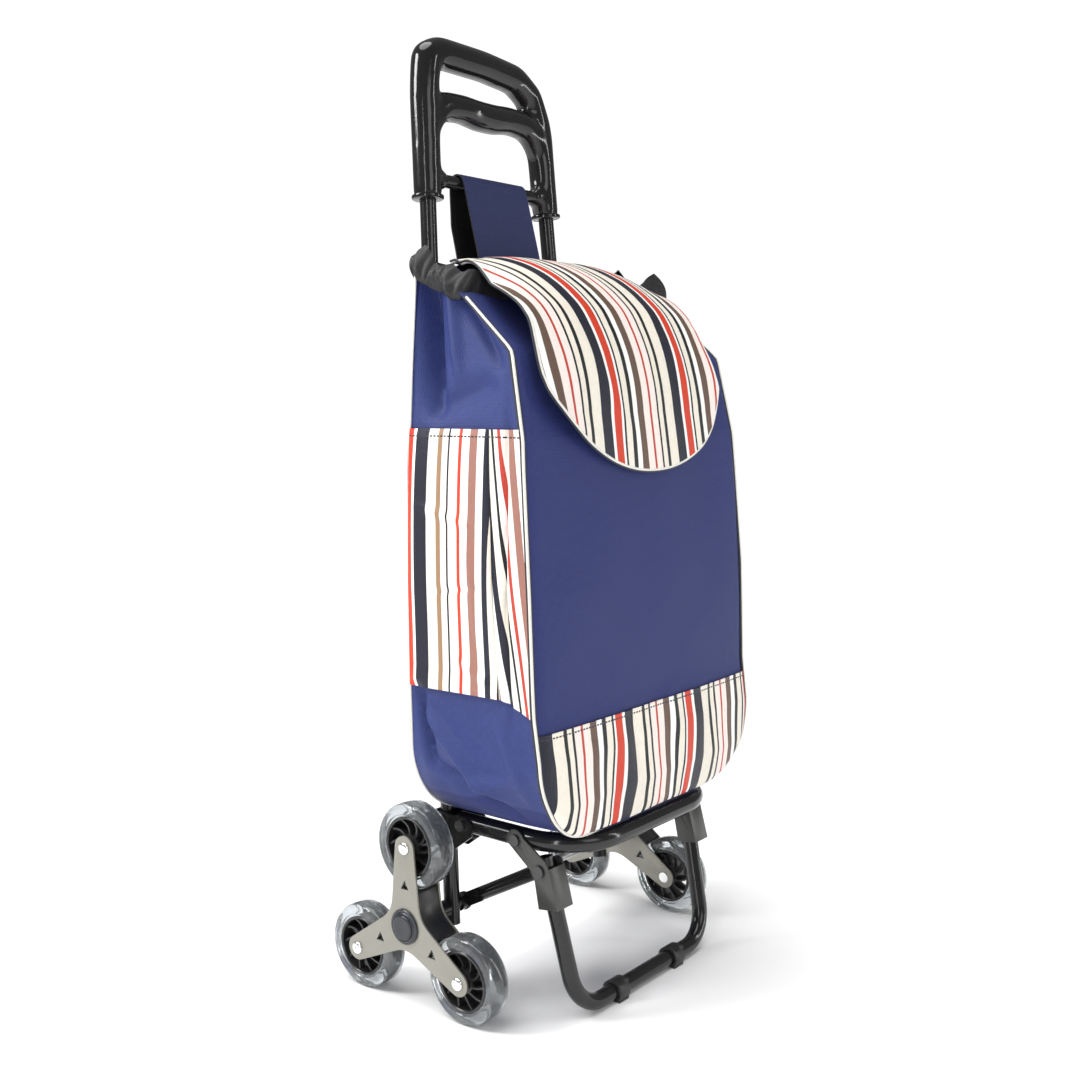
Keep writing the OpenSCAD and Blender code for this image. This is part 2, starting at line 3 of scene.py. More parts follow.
import bpy
import numpy as np
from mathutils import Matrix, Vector


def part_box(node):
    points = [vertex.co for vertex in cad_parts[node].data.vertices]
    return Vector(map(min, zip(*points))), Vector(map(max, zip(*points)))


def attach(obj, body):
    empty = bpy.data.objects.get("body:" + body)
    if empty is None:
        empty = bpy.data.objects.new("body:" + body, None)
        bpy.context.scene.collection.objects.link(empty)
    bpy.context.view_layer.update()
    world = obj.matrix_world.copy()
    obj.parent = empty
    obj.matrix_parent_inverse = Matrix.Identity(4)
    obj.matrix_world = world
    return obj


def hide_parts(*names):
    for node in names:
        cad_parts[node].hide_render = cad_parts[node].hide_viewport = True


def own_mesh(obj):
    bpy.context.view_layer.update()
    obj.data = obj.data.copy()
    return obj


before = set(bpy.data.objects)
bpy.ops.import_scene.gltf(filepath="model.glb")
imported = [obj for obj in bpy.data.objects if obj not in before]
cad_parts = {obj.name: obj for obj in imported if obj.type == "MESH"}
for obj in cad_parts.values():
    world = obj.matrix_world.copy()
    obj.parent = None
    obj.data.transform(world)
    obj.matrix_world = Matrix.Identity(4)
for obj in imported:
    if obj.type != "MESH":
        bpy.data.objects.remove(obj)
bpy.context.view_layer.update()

# ---- Camera, floor and studio ----
# A pale floor that runs out of sight, a white room, a big soft light from the left and
# narrow strips that draw long highlights on the gloss black tubes.
axle_low, axle_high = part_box("axle_rod")
axle_y = (axle_low.y + axle_high.y) / 2
axle_z = (axle_low.z + axle_high.z) / 2
camera_data = bpy.data.cameras.new("camera")
camera_data.lens = 44.0
camera_data.sensor_width = 36.0
camera_data.clip_end = 50
camera = bpy.data.objects.new("camera", camera_data)
bpy.context.scene.collection.objects.link(camera)
camera.location = (-1.036, axle_y - 0.8435, 0.5735)
camera.rotation_euler = (math.radians(90 - 5.8), math.radians(0.31), math.radians(-51.11))
bpy.context.scene.camera = camera
bpy.context.scene.view_settings.view_transform = "Standard"

world = bpy.data.worlds.new("room")
world.use_nodes = True
room = world.node_tree
seen = room.nodes["Background"]
seen.inputs["Color"].default_value = (1, 1, 1, 1)
seen.inputs["Strength"].default_value = 1.05
lit = room.nodes.new("ShaderNodeBackground")
lit.inputs["Color"].default_value = (1, 1, 1, 1)
lit.inputs["Strength"].default_value = 0.24
ray_kind = room.nodes.new("ShaderNodeLightPath")
choose = room.nodes.new("ShaderNodeMixShader")
room.links.new(ray_kind.outputs["Is Camera Ray"], choose.inputs[0])
room.links.new(lit.outputs[0], choose.inputs[1])
room.links.new(seen.outputs[0], choose.inputs[2])
room.links.new(choose.outputs[0], room.nodes["World Output"].inputs[0])
bpy.context.scene.world = world
overhead = bpy.data.objects.new("overhead", bpy.data.lights.new("overhead", "SUN"))
overhead.data.energy = 3.1
overhead.data.angle = 0.9
overhead.rotation_euler = (math.radians(-6), math.radians(-9), 0)
bpy.context.scene.collection.objects.link(overhead)


def soft_light(name, place, look_at, width, height, power):
    data = bpy.data.lights.new(name, "AREA")
    data.shape = "RECTANGLE"
    data.size = width
    data.size_y = height
    data.energy = power
    light = bpy.data.objects.new(name, data)
    bpy.context.scene.collection.objects.link(light)
    light.location = place
    light.rotation_euler = (Vector(look_at) - Vector(place)).to_track_quat("-Z", "Y").to_euler()


soft_light("key", (-1.5, 1.25, 1.75), (0, 0, 0.45), 0.7, 0.9, 38)
soft_light("front_fill", (-0.5, -2.6, 1.5), (0, 0, 0.45), 1.2, 1.2, 11)
soft_light("strip_left", (-1.9, -0.75, 0.7), (0, 0, 0.6), 0.09, 1.7, 9)
soft_light("strip_right", (1.1, -1.5, 0.8), (0, 0, 0.6), 0.09, 1.7, 8)


def put_away():
    """Nothing stays selected, so the next operator acts only on the new piece."""
    if bpy.context.object and bpy.context.object.mode != "OBJECT":
        bpy.ops.object.mode_set(mode="OBJECT")
    bpy.ops.object.select_all(action="DESELECT")


def pick(*pieces):
    """Only these pieces are selected, and the first is the active one."""
    put_away()
    for piece in pieces:
        piece.select_set(True)
    bpy.context.view_layer.objects.active = pieces[0]


def apply_modifier(piece, name, kind, **settings):
    """Add a modifier to the active piece, set it and apply it."""
    modifier = piece.modifiers.new(name, kind)
    for setting, value in settings.items():
        setattr(modifier, setting, value)
    bpy.ops.object.modifier_apply(modifier=name)


def points_of(data):
    co = np.zeros(len(data.vertices) * 3)
    data.vertices.foreach_get("co", co)
    return co.reshape(-1, 3)


def set_sockets(node, sockets):
    for socket, value in sockets.items():
        node.inputs[socket.replace("_", " ")].default_value = value
    return node


def add_node(tree, kind, **sockets):
    """A shader node, with the values of the sockets that don't keep their defaults."""
    return set_sockets(tree.nodes.new("ShaderNode" + kind), sockets)


def add_math(tree, operation, first, second):
    """A math node whose inputs are each a number or the socket that feeds it."""
    node = tree.nodes.new("ShaderNodeMath")
    node.operation = operation
    for k, value in enumerate((first, second)):
        if isinstance(value, bpy.types.NodeSocket):
            tree.links.new(value, node.inputs[k])
        elif value is not None:
            node.inputs[k].default_value = value
    return node.outputs[0]


def new_material(name, colour, rough, **sockets):
    material = bpy.data.materials.new(name)
    material.use_nodes = True
    shader = material.node_tree.nodes["Principled BSDF"]
    set_sockets(shader, {"Base Color": (*colour, 1), "Roughness": rough, **sockets})
    return material


def give(piece, material):
    """None leaves the piece with the materials that it has."""
    if material is None:
        return
    piece.data.materials.clear()
    piece.data.materials.append(material)


def stand_in(piece, material, body, node):
    """The piece gets its material and is shown in place of a CAD node, on a moving body."""
    give(piece, material)
    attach(piece, body)
    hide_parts(node)


put_away()
bpy.ops.mesh.primitive_plane_add(size=16, location=(0, 0, 0))
floor = bpy.context.object
floor.name = "studio_floor"
floor_paint = new_material("floor_paint", (0.95, 0.95, 0.95), 0.7)
give(floor, floor_paint)

# ---- Surface effects shared by several finishes ----
# Groups that put out a height or a mask: a fine mottle for paint and moulded plastic,
# and the crossed threads of coated oxford cloth.


def effect_group(name, inputs, outputs):
    group = bpy.data.node_groups.new(name, "ShaderNodeTree")
    for label, value in inputs:
        socket = group.interface.new_socket(label, in_out="INPUT", socket_type="NodeSocketFloat")
        socket.default_value = value
    for label in outputs:
        group.interface.new_socket(label, in_out="OUTPUT", socket_type="NodeSocketFloat")
    return group, group.nodes.new("NodeGroupInput"), group.nodes.new("NodeGroupOutput")


mottle, mottle_in, mottle_out = effect_group("mottle", [("Scale", 900.0)], ["Height", "Mask"])
coords = mottle.nodes.new("ShaderNodeTexCoord")
fine = add_node(mottle, "TexNoise", Detail=3)
broad = add_node(mottle, "TexNoise", Scale=14, Detail=4)
mottle.links.new(coords.outputs["Object"], fine.inputs["Vector"])
mottle.links.new(coords.outputs["Object"], broad.inputs["Vector"])
mottle.links.new(mottle_in.outputs["Scale"], fine.inputs["Scale"])
mottle.links.new(fine.outputs["Fac"], mottle_out.inputs["Height"])
mottle.links.new(broad.outputs["Fac"], mottle_out.inputs["Mask"])

weave, weave_in, weave_out = effect_group("weave", [("Threads", 900.0)], ["Height", "Mask"])
coords = weave.nodes.new("ShaderNodeTexCoord")
heights = []
for direction in ("X", "Y", "Z"):
    thread = add_node(weave, "TexWave", Distortion=0.6, Detail=1)
    thread.wave_type = "BANDS"
    thread.bands_direction = direction
    weave.links.new(coords.outputs["Object"], thread.inputs["Vector"])
    weave.links.new(weave_in.outputs["Threads"], thread.inputs["Scale"])
    heights.append(thread.outputs["Fac"])
threads_height = add_math(weave, "ADD", add_math(weave, "ADD", heights[0], heights[1]), heights[2])
cloudy = add_node(weave, "TexNoise", Scale=260, Detail=6)
weave.links.new(coords.outputs["Object"], cloudy.inputs["Vector"])
weave.links.new(threads_height, weave_out.inputs["Height"])
weave.links.new(cloudy.outputs["Fac"], weave_out.inputs["Mask"])


def add_effect(material, group, value, bump, distance, colours, roughs):
    """Bump from the group's height; colour and roughness swing between two values by its mask."""
    tree = material.node_tree
    shader = tree.nodes["Principled BSDF"]
    effect = tree.nodes.new("ShaderNodeGroup")
    effect.node_tree = group
    effect.inputs[0].default_value = value
    bumps = add_node(tree, "Bump", Strength=bump, Distance=distance)
    tree.links.new(effect.outputs["Height"], bumps.inputs["Height"])
    tree.links.new(bumps.outputs["Normal"], shader.inputs["Normal"])
    mix = tree.nodes.new("ShaderNodeMix")
    mix.data_type = "RGBA"
    mix.inputs["A"].default_value = (*colours[0], 1)
    mix.inputs["B"].default_value = (*colours[1], 1)
    tree.links.new(effect.outputs["Mask"], mix.inputs["Factor"])
    tree.links.new(mix.outputs["Result"], shader.inputs["Base Color"])
    ramp = add_node(tree, "MapRange", To_Min=roughs[0], To_Max=roughs[1])
    tree.links.new(effect.outputs["Mask"], ramp.inputs["Value"])
    tree.links.new(ramp.outputs["Result"], shader.inputs["Roughness"])


def finish(name, colour, rough, effect, colours, roughs, **sockets):
    """A material with an effect laid over it: its group, scale, bump strength and bump distance."""
    material = new_material(name, colour, rough, **sockets)
    add_effect(material, *effect, colours, roughs)
    return material


# ---- Gloss black steel: uprights, gussets, struts and axle parts ----
# Welded and riveted steel tube with a deep gloss black coat that shows a faint orange peel.
black_steel = finish("gloss_black_steel", (0.01, 0.01, 0.011), 0.14, (mottle, 500.0, 0.05, 0.0003),
                     ((0.008, 0.008, 0.009), (0.014, 0.014, 0.015)), (0.1, 0.2), Specular_IOR_Level=0.42)
zinc = finish("zinc_plate", (0.62, 0.62, 0.61), 0.3, (mottle, 1200.0, 0.1, 0.0003),
              ((0.5, 0.5, 0.5), (0.75, 0.75, 0.74)), (0.2, 0.4), Metallic=1.0)
dark_rivet = finish("dark_rivet", (0.05, 0.05, 0.05), 0.25, (mottle, 1500.0, 0.1, 0.0002),
                    ((0.03, 0.03, 0.03), (0.09, 0.09, 0.09)), (0.2, 0.35), Metallic=0.6)
for name in ("upright_left", "upright_right", "strut_left", "strut_right", "gusset_left", "gusset_right"):
    give(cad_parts[name], black_steel)
for name in ("axle_rod", "axle_clips"):
    give(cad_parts[name], zinc)
for name in ("frame_rivets", "platform_pins"):
    give(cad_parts[name], dark_rivet)
black_plastic = finish("gloss_black_plastic", (0.01, 0.01, 0.01), 0.12, (mottle, 700.0, 0.04, 0.0003),
                       ((0.007, 0.007, 0.007), (0.013, 0.013, 0.013)), (0.08, 0.17), Specular_IOR_Level=0.42)
for name in ("axle_spacers", "upright_plugs"):
    give(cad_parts[name], black_plastic)

# ---- Platform loop and stand ----
# Bent steel tube, drawn as one smooth run through both corners, open at the two ends.


arc_steps = 16


def bent_tube(name, points, corner, radius, wall=0.0012):
    """A round tube along straight runs whose corners are arcs of the given radius."""
    line = []
    for i, p in enumerate(points):
        if i == 0 or i == len(points) - 1:
            line.append(p)
            continue
        a = (points[i - 1] - p).normalized()
        b = (points[i + 1] - p).normalized()
        half = a.angle(b) / 2
        reach = corner / math.tan(half)
        middle = p + (a + b).normalized() * (corner / math.sin(half))
        start, end = p + a * reach - middle, p + b * reach - middle
        turn = start.angle(end)
        for k in range(arc_steps + 1):
            t = k / arc_steps
            line.append(middle + (start * math.sin((1 - t) * turn)
                + end * math.sin(t * turn)) / math.sin(turn))
    curve = bpy.data.curves.new(name, "CURVE")
    curve.dimensions = "3D"
    curve.bevel_depth = radius
    curve.bevel_resolution = 7
    spline = curve.splines.new("POLY")
    spline.points.add(len(line) - 1)
    for point, p in zip(spline.points, line):
        point.co = (*p, 1)
    tube = bpy.data.objects.new(name, curve)
    bpy.context.scene.collection.objects.link(tube)
    pick(tube)
    bpy.ops.object.convert(target="MESH")
    if wall:
        apply_modifier(tube, "wall", "SOLIDIFY", thickness=wall, offset=-1)
    bpy.ops.object.shade_smooth_by_angle(angle=math.radians(40))
    return tube


rail_low, rail_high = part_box("platform_loop")
rail_r = 0.0095
rail_z = (rail_low.z + rail_high.z) / 2
rail_x = rail_high.x - rail_r
rail_front = rail_low.y + rail_r + 0.00015
rail = bent_tube("platform_tube", [
    Vector((-rail_x, rail_high.y, rail_z)), Vector((-rail_x, rail_front, rail_z)),
    Vector((rail_x, rail_front, rail_z)), Vector((rail_x, rail_high.y, rail_z))], 0.057, rail_r)
stand_in(rail, black_steel, "platform", "platform_loop")

leg_r = 0.008
foot_f, foot_z = 0.146, 0.0094
knee_f, knee_z = 0.117, 0.143


def at(f, z, x=0.0):
    """A point by its distance in front of the axle, its height and its distance from the middle."""
    return Vector((x, axle_y - f, z))


rise = knee_z - foot_z + 0.011
leg_top_x = rail_x + 0.0017
taper = math.tan(math.radians(4)) / math.cos(math.atan((foot_f - knee_f) / (knee_z - foot_z)))
leg_low_x = leg_top_x - rise * taper
lean_f = (foot_f - knee_f) / (knee_z - foot_z)
stand = bent_tube("stand_bent_tube", [
    at(foot_f - rise * lean_f, foot_z + rise, -leg_top_x), at(foot_f, foot_z, -leg_low_x),
    at(foot_f, foot_z, leg_low_x), at(foot_f - rise * lean_f, foot_z + rise, leg_top_x)], 0.037, leg_r)
stand_in(stand, black_steel, "stand", "stand_tube")

# ---- Stand brackets and their rivets ----
# Grey stamped steel channels that clasp the tops of the stand's legs, with rounded edges,
# and the black plastic clips that the stand's feet stand on.
bracket_paint = finish("grey_bracket", (0.05, 0.05, 0.048), 0.3, (mottle, 1100.0, 0.12, 0.0003),
                       ((0.036, 0.036, 0.034), (0.07, 0.069, 0.065)), (0.24, 0.38), Metallic=0.3)


def rounded_copy(node, name, width, body, material, segments=2, weld=0.00002):
    """A copy of a CAD piece, its loose faces merged and its sharp edges rounded over."""
    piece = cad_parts[node].copy()
    piece.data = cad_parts[node].data.copy()
    piece.parent = None
    piece.name = name
    for key in list(piece.keys()):
        del piece[key]
    bpy.context.scene.collection.objects.link(piece)
    pick(piece)
    bpy.ops.object.mode_set(mode="EDIT")
    bpy.ops.mesh.select_all(action="SELECT")
    bpy.ops.mesh.remove_doubles(threshold=weld)
    bpy.ops.mesh.tris_convert_to_quads(face_threshold=math.radians(1), shape_threshold=math.radians(180))
    bpy.ops.mesh.dissolve_limited(angle_limit=math.radians(0.5))
    bpy.ops.mesh.normals_make_consistent(inside=False)
    bpy.ops.object.mode_set(mode="OBJECT")
    apply_modifier(piece, "edge", "BEVEL", width=width, segments=segments, limit_method="ANGLE",
                   angle_limit=math.radians(38), use_clamp_overlap=True)
    bpy.ops.object.shade_smooth_by_angle(angle=math.radians(35))
    stand_in(piece, material, body, node)
    return piece


for side in ("left", "right"):
    rounded_copy(f"stand_bracket_{side}", f"leg_bracket_{side}", 0.0006, "stand",
                 bracket_paint)
give(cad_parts["stand_rivets"], dark_rivet)
clip_plastic = finish("foot_clip_plastic", (0.016, 0.016, 0.017), 0.42, (mottle, 1300.0, 0.15, 0.0003),
                      ((0.012, 0.012, 0.012), (0.024, 0.024, 0.024)), (0.36, 0.5))
for side in ("left", "right"):
    rounded_copy(f"foot_clip_{side}", f"foot_ring_{side}", 0.0009, "stand", clip_plastic)

# ---- Tri-star clusters ----
# Two pressed champagne-silver plates with a black moulded core between them, a stepped
# black cap over the axle's end and bright rivets through the wheels' hubs.
plate_paint = finish("champagne_plate", (0.33, 0.32, 0.275), 0.34, (mottle, 1000.0, 0.05, 0.0002),
                     ((0.225, 0.22, 0.188), (0.3, 0.29, 0.252)), (0.27, 0.42), Metallic=0.5)
core_plastic = finish("cluster_plastic", (0.014, 0.014, 0.014), 0.3, (mottle, 900.0, 0.12, 0.0003),
                      ((0.01, 0.01, 0.01), (0.022, 0.022, 0.022)), (0.26, 0.4))
cap_plastic = finish("cap_plastic", (0.014, 0.016, 0.022), 0.28, (mottle, 900.0, 0.08, 0.0002),
                     ((0.011, 0.013, 0.018), (0.02, 0.022, 0.03)), (0.22, 0.34))
bright_pin = finish("bright_rivet", (0.82, 0.82, 0.81), 0.22, (mottle, 1500.0, 0.06, 0.0002),
                    ((0.74, 0.74, 0.73), (0.9, 0.9, 0.89)), (0.16, 0.3), Metallic=1.0)

star_arm = 0.076
track = (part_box("tyre_right_top")[0].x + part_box("tyre_right_top")[1].x) / 2
plate_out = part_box("star_plates_right")[1].x


def spun(name, profile, steps=64, close=True):
    """A ring turned about the X axis from [x, radius] points, its first and last point joined."""
    put_away()
    bpy.ops.mesh.primitive_circle_add(vertices=3, radius=0.001, location=(0, 0, 0))
    piece = bpy.context.object
    piece.name = name
    data = piece.data
    data.clear_geometry()
    edges = [(i, i + 1) for i in range(len(profile) - 1)] + ([(len(profile) - 1, 0)] if close else [])
    data.from_pydata([(x, 0, r) for x, r in profile], edges, [])
    bpy.ops.object.mode_set(mode="EDIT")
    bpy.ops.mesh.select_all(action="SELECT")
    bpy.ops.mesh.spin(steps=steps, angle=2 * math.pi, center=(0, 0, 0), axis=(1, 0, 0))
    bpy.ops.mesh.select_all(action="SELECT")
    bpy.ops.mesh.remove_doubles(threshold=1e-6)
    bpy.ops.mesh.normals_make_consistent(inside=False)
    bpy.ops.object.mode_set(mode="OBJECT")
    bpy.ops.object.shade_smooth_by_angle(angle=math.radians(38))
    return piece


def placed_copy(source, name, offset, mirror=1):
    """A copy with its own mesh, mirrored in X if asked, its place written into its mesh."""
    piece = source.copy()
    piece.data = source.data.copy()
    piece.name = name
    bpy.context.scene.collection.objects.link(piece)
    co = points_of(piece.data)
    co[:, 0] *= mirror
    co += np.array(offset)
    piece.data.vertices.foreach_set("co", co.ravel())
    if mirror < 0:
        piece.data.flip_normals()
    piece.data.update()
    return piece


def joined(name, pieces):
    pick(*pieces)
    bpy.ops.object.join()
    pieces[0].name = name
    return pieces[0]


def arm_place(k, side):
    turn = math.radians(120 * k)
    return (side * track, axle_y - star_arm * math.sin(turn), axle_z + star_arm * math.cos(turn))


for side, sign in (("left", -1), ("right", 1)):
    body = f"star_{side}"
    rounded_copy(f"star_plates_{side}", f"cluster_plates_{side}", 0.0007, body, plate_paint, 3)
    rounded_copy(f"star_core_{side}", f"cluster_core_{side}", 0.0005, body, core_plastic)
    cap = spun(f"axle_cap_{side}",
               [(0.0, 0.0095), (0.0, 0.0162), (0.0006, 0.0169), (0.0016, 0.0169), (0.0022, 0.0163),
                                    (0.0024, 0.0146), (0.0031, 0.0141), (0.0036, 0.0136), (0.0037, 0.0131),
                                    (0.0029, 0.0127), (0.0029, 0.0122), (0.0043, 0.0119), (0.0049, 0.0112),
                                    (0.005, 0.0098), (0.0046, 0.005), (0.0044, 0.0), (0.0036, 0.0),
                                    (0.0036, 0.0095)], close=False)
    placed = placed_copy(cap, f"cluster_cap_{side}", (sign * plate_out, axle_y, axle_z), sign)
    bpy.data.objects.remove(cap)
    stand_in(placed, cap_plastic, body, f"star_cap_{side}")
    heads = []
    for k in range(3):
        head = spun("rivet_head",
                    [(0.0, 0.0), (0.0, 0.0058), (0.0004, 0.0061), (0.0012, 0.0059), (0.0018, 0.0052),
                                   (0.0023, 0.0036), (0.0024, 0.0019), (0.0014, 0.0014), (0.0013, 0.0)], 32,
                                   False)
        shank = spun("rivet_shank", [(-0.033, 0.0), (-0.033, 0.0055), (-0.0325, 0.006), (-0.0312, 0.006),
                                     (-0.0305, 0.0055), (-0.0305, 0.004), (0.0, 0.004), (0.0, 0.0)], 32,
                                     False)
        x, y, z = arm_place(k, sign)
        for part in (head, shank):
            heads.append(placed_copy(part, "rivet", (sign * plate_out, y, z), sign))
            bpy.data.objects.remove(part)
    pins = joined(f"wheel_rivets_{side}", heads)
    stand_in(pins, bright_pin, body, f"star_pins_{side}")

# ---- Wheels ----
# A clear grey polyurethane tyre cast on a black hub with ten swept spokes; the tyre has
# a rounded shoulder, a shallow centre groove and a raised lip where it meets the hub.
tyre_gel = finish("clear_tyre", (0.7, 0.74, 0.77), 0.08, (mottle, 120.0, 0.25, 0.0012),
                  ((0.3, 0.33, 0.35), (0.86, 0.89, 0.91)), (0.04, 0.14), Transmission_Weight=0.92, IOR=1.42)
hub_plastic = finish("hub_plastic", (0.014, 0.014, 0.015), 0.26, (mottle, 900.0, 0.08, 0.0003),
                     ((0.01, 0.01, 0.011), (0.022, 0.022, 0.023)), (0.2, 0.34))
tyre_r, hub_r, half_w = 0.0415, 0.029, 0.0115
bulge = 0.0059
spoke_root, spoke_count = 0.0095, 10
profile = [(-0.0098, hub_r), (-0.0104, hub_r + 0.0016), (-0.0114, hub_r + 0.0026)]
for k in range(9):
    a = math.radians(-90 + 180 * k / 8)
    x = (half_w - bulge) * (1 if k > 4 else -1 if k < 4 else 0) + bulge * math.sin(a)
    profile.append((x, tyre_r - bulge + bulge * math.cos(a) - (0.0003 if k == 4 else 0)))
profile += [(0.0114, hub_r + 0.0026), (0.0104, hub_r + 0.0016), (0.0098, hub_r)]
tyre = spun("tyre_ring", profile, 72)
rim_profile = [(-0.0106, hub_r), (-0.0112, hub_r - 0.0006), (-0.0112, hub_r - 0.0018),
               (-0.0104, hub_r - 0.0028),
               (-0.004, hub_r - 0.0032), (0.004, hub_r - 0.0032), (0.0104, hub_r - 0.0028),
               (0.0112, hub_r - 0.0018),
               (0.0112, hub_r - 0.0006), (0.0106, hub_r)]
boss_profile = [(-0.0137, 0.0041), (-0.0137, 0.0078), (-0.0128, 0.0085), (-0.009, 0.0088), (-0.008, 0.0115),
                (0.008, 0.0115), (0.009, 0.0088), (0.0128, 0.0085), (0.0137, 0.0078), (0.0137, 0.0041)]
hub_parts = [spun("hub_rim", rim_profile, 72), spun("hub_boss", boss_profile, 48)]
for k in range(spoke_count):
    put_away()
    bpy.ops.mesh.primitive_grid_add(x_subdivisions=2, y_subdivisions=8, size=1, location=(0, 0, 0))
    spoke = bpy.context.object
    grid = points_of(spoke.data)
    along = grid[:, 1] + 0.5
    reach = spoke_root + along * (hub_r - 0.0028 - spoke_root)
    sweep = math.radians(360 / spoke_count * k) + 0.42 * along**1.3
    across = grid[:, 0] * (0.0165 - 0.003 * np.sin(along * math.pi))
    shape = np.stack([across, reach * np.sin(sweep), reach * np.cos(sweep)], 1)
    spoke.data.vertices.foreach_set("co", shape.ravel())
    apply_modifier(spoke, "web", "SOLIDIFY", thickness=0.0024, offset=0)
    apply_modifier(spoke, "round_edge", "BEVEL", width=0.0006, segments=2)
    bpy.ops.object.shade_smooth_by_angle(angle=math.radians(40))
    hub_parts.append(spoke)
hub = joined("spoked_hub", hub_parts)
for side, sign in (("left", -1), ("right", 1)):
    for k, spot in enumerate(("top", "front", "rear")):
        body = f"wheel_{side}_{spot}"
        this_tyre = placed_copy(tyre, f"soft_tyre_{side}_{spot}", arm_place(k, sign), sign)
        stand_in(this_tyre, tyre_gel, body, f"tyre_{side}_{spot}")
        this_hub = placed_copy(hub, f"spoked_hub_{side}_{spot}", arm_place(k, sign), sign)
        stand_in(this_hub, hub_plastic, body, f"hub_{side}_{spot}")
bpy.data.objects.remove(tyre)
bpy.data.objects.remove(hub)

# ---- Handle ----
# One gloss black moulding: two sleeves over the tubes, a top bar that runs into them in
# wide corners and a second, waved grip bar whose ends flow down into the sleeves.
lean_back = math.radians(4)
sleeve_s = 0.691
top_s = sleeve_s + 0.160


def in_plane(x, s, out=0.0):
    """A point by the uprights' plane: across, up the slope from the axle, and out to the front."""
    return Vector((x, axle_y + s * math.sin(lean_back) - out * math.cos(lean_back),
                   axle_z + s * math.cos(lean_back) + out * math.sin(lean_back)))


def sleeve_x(s):
    return 0.1225 - s * math.tan(math.radians(2.5))


def swept(name, stations, steps=8, round_steps=8):
    """A tube through [centre, radius] stations, its radius changing along it."""
    curve = bpy.data.curves.new(name, "CURVE")
    curve.dimensions = "3D"
    curve.bevel_depth = 1.0
    curve.bevel_resolution = round_steps
    curve.resolution_u = steps
    curve.use_fill_caps = True
    spline = curve.splines.new("NURBS")
    spline.order_u = 3
    spline.use_endpoint_u = True
    spline.points.add(len(stations) - 1)
    for point, (p, r) in zip(spline.points, stations):
        point.co = (*p, 1)
        point.radius = r
    tube = bpy.data.objects.new(name, curve)
    bpy.context.scene.collection.objects.link(tube)
    pick(tube)
    bpy.ops.object.convert(target="MESH")
    return tube


top_c = top_s - 0.0155
outer_loop = []
for sign in (-1, 1):
    leg = [(in_plane(sign * sleeve_x(s), s), r) for s, r in
           ((sleeve_s, 0.0142), (sleeve_s + 0.03, 0.0143), (sleeve_s + 0.07, 0.0146),
            (sleeve_s + (0.1 if sign < 0 else 0.085), 0.0148))]
    if sign < 0:
        corner = [(in_plane(-0.0855, top_s - 0.040), 0.0150), (in_plane(-0.0815, top_s - 0.0215), 0.0158),
                  (in_plane(-0.066, top_c + 0.0012), 0.0158)]
    else:
        corner = [(in_plane(0.0855, top_s - 0.060), 0.0150), (in_plane(0.0735, top_s - 0.034), 0.0154),
                  (in_plane(0.050, top_c - 0.004), 0.0157)]
    stations = leg + corner
    outer_loop.append(stations if sign < 0 else stations[::-1])
handle_bars = [swept("outer_loop", outer_loop[0] + [(in_plane(0, top_c + 0.0005), 0.0157)] + outer_loop[1])]
low_c = top_s - 0.066
half_bar = [(sleeve_x(low_c) - 0.002, -0.026, 0.0125), (0.076, -0.009, 0.0135), (0.062, 0.0005, 0.0148),
            (0.035, 0.0018, 0.0146), (0.012, -0.0008, 0.0156)]
whole_bar = [(-x, s, r) for x, s, r in half_bar] + half_bar[::-1]
handle_bars.append(swept("grip_bar", [(in_plane(x, low_c + s), r) for x, s, r in whole_bar]))
for sign in (-1, 1):
    s = sleeve_s + 0.021
    bar_socket = [(in_plane(sign * (sleeve_x(s) - inset), s), radius)
                  for inset, radius in ((0.004, 0.0112), (0.018, 0.0104), (0.0245, 0.0096))]
    handle_bars.append(swept("bar_socket", bar_socket))
handle = joined("moulded_handle", handle_bars)
apply_modifier(handle, "skin", "REMESH", mode="VOXEL", voxel_size=0.0019)
apply_modifier(handle, "soften", "SMOOTH", factor=0.5, iterations=60)
lips = []
for sign in (-1, 1):
    ring = spun("lip", [(0.0, 0.0085), (0.0, 0.0148), (0.0006, 0.0156), (0.0022, 0.0159), (0.0036, 0.0156),
                        (0.0044, 0.0143), (0.0044, 0.0085)], 48)
    middle = in_plane(sign * sleeve_x(sleeve_s), sleeve_s)
    up = (in_plane(sign * sleeve_x(sleeve_s + 0.1), sleeve_s + 0.1) - middle).normalized()
    ring.rotation_mode = "QUATERNION"
    ring.rotation_quaternion = up.to_track_quat("X", "Z")
    ring.location = middle
    bpy.ops.object.transform_apply(location=True, rotation=True, scale=True)
    lips.append(ring)
handle = joined("moulded_handle", [handle] + lips)
bpy.ops.object.shade_smooth_by_angle(angle=math.radians(50))
stand_in(handle, black_plastic, "frame", "handle_grip")
give(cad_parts["strap_bar"], black_plastic)

# ---- Bag shell ----
# Coated navy oxford cloth: a front panel that leans back and folds over at the shoulder,
# a side and bottom gusset that sags between its seams, and a plain back panel. The outline
# is two curves over height: metres in front of the axle, and half the bag's width.
heights = np.linspace(0.170, 0.70, 531)


def softened(curve, span):
    """A running average over 2 * span + 1 samples that keeps both ends in place."""
    padded = np.pad(curve, span, mode="reflect", reflect_type="odd")
    kernel = np.hanning(2 * span + 1)
    return np.convolve(padded, kernel / kernel.sum(), mode="valid")


def smoothed(knots, values, span=25):
    return softened(np.interp(heights, knots, values), span)


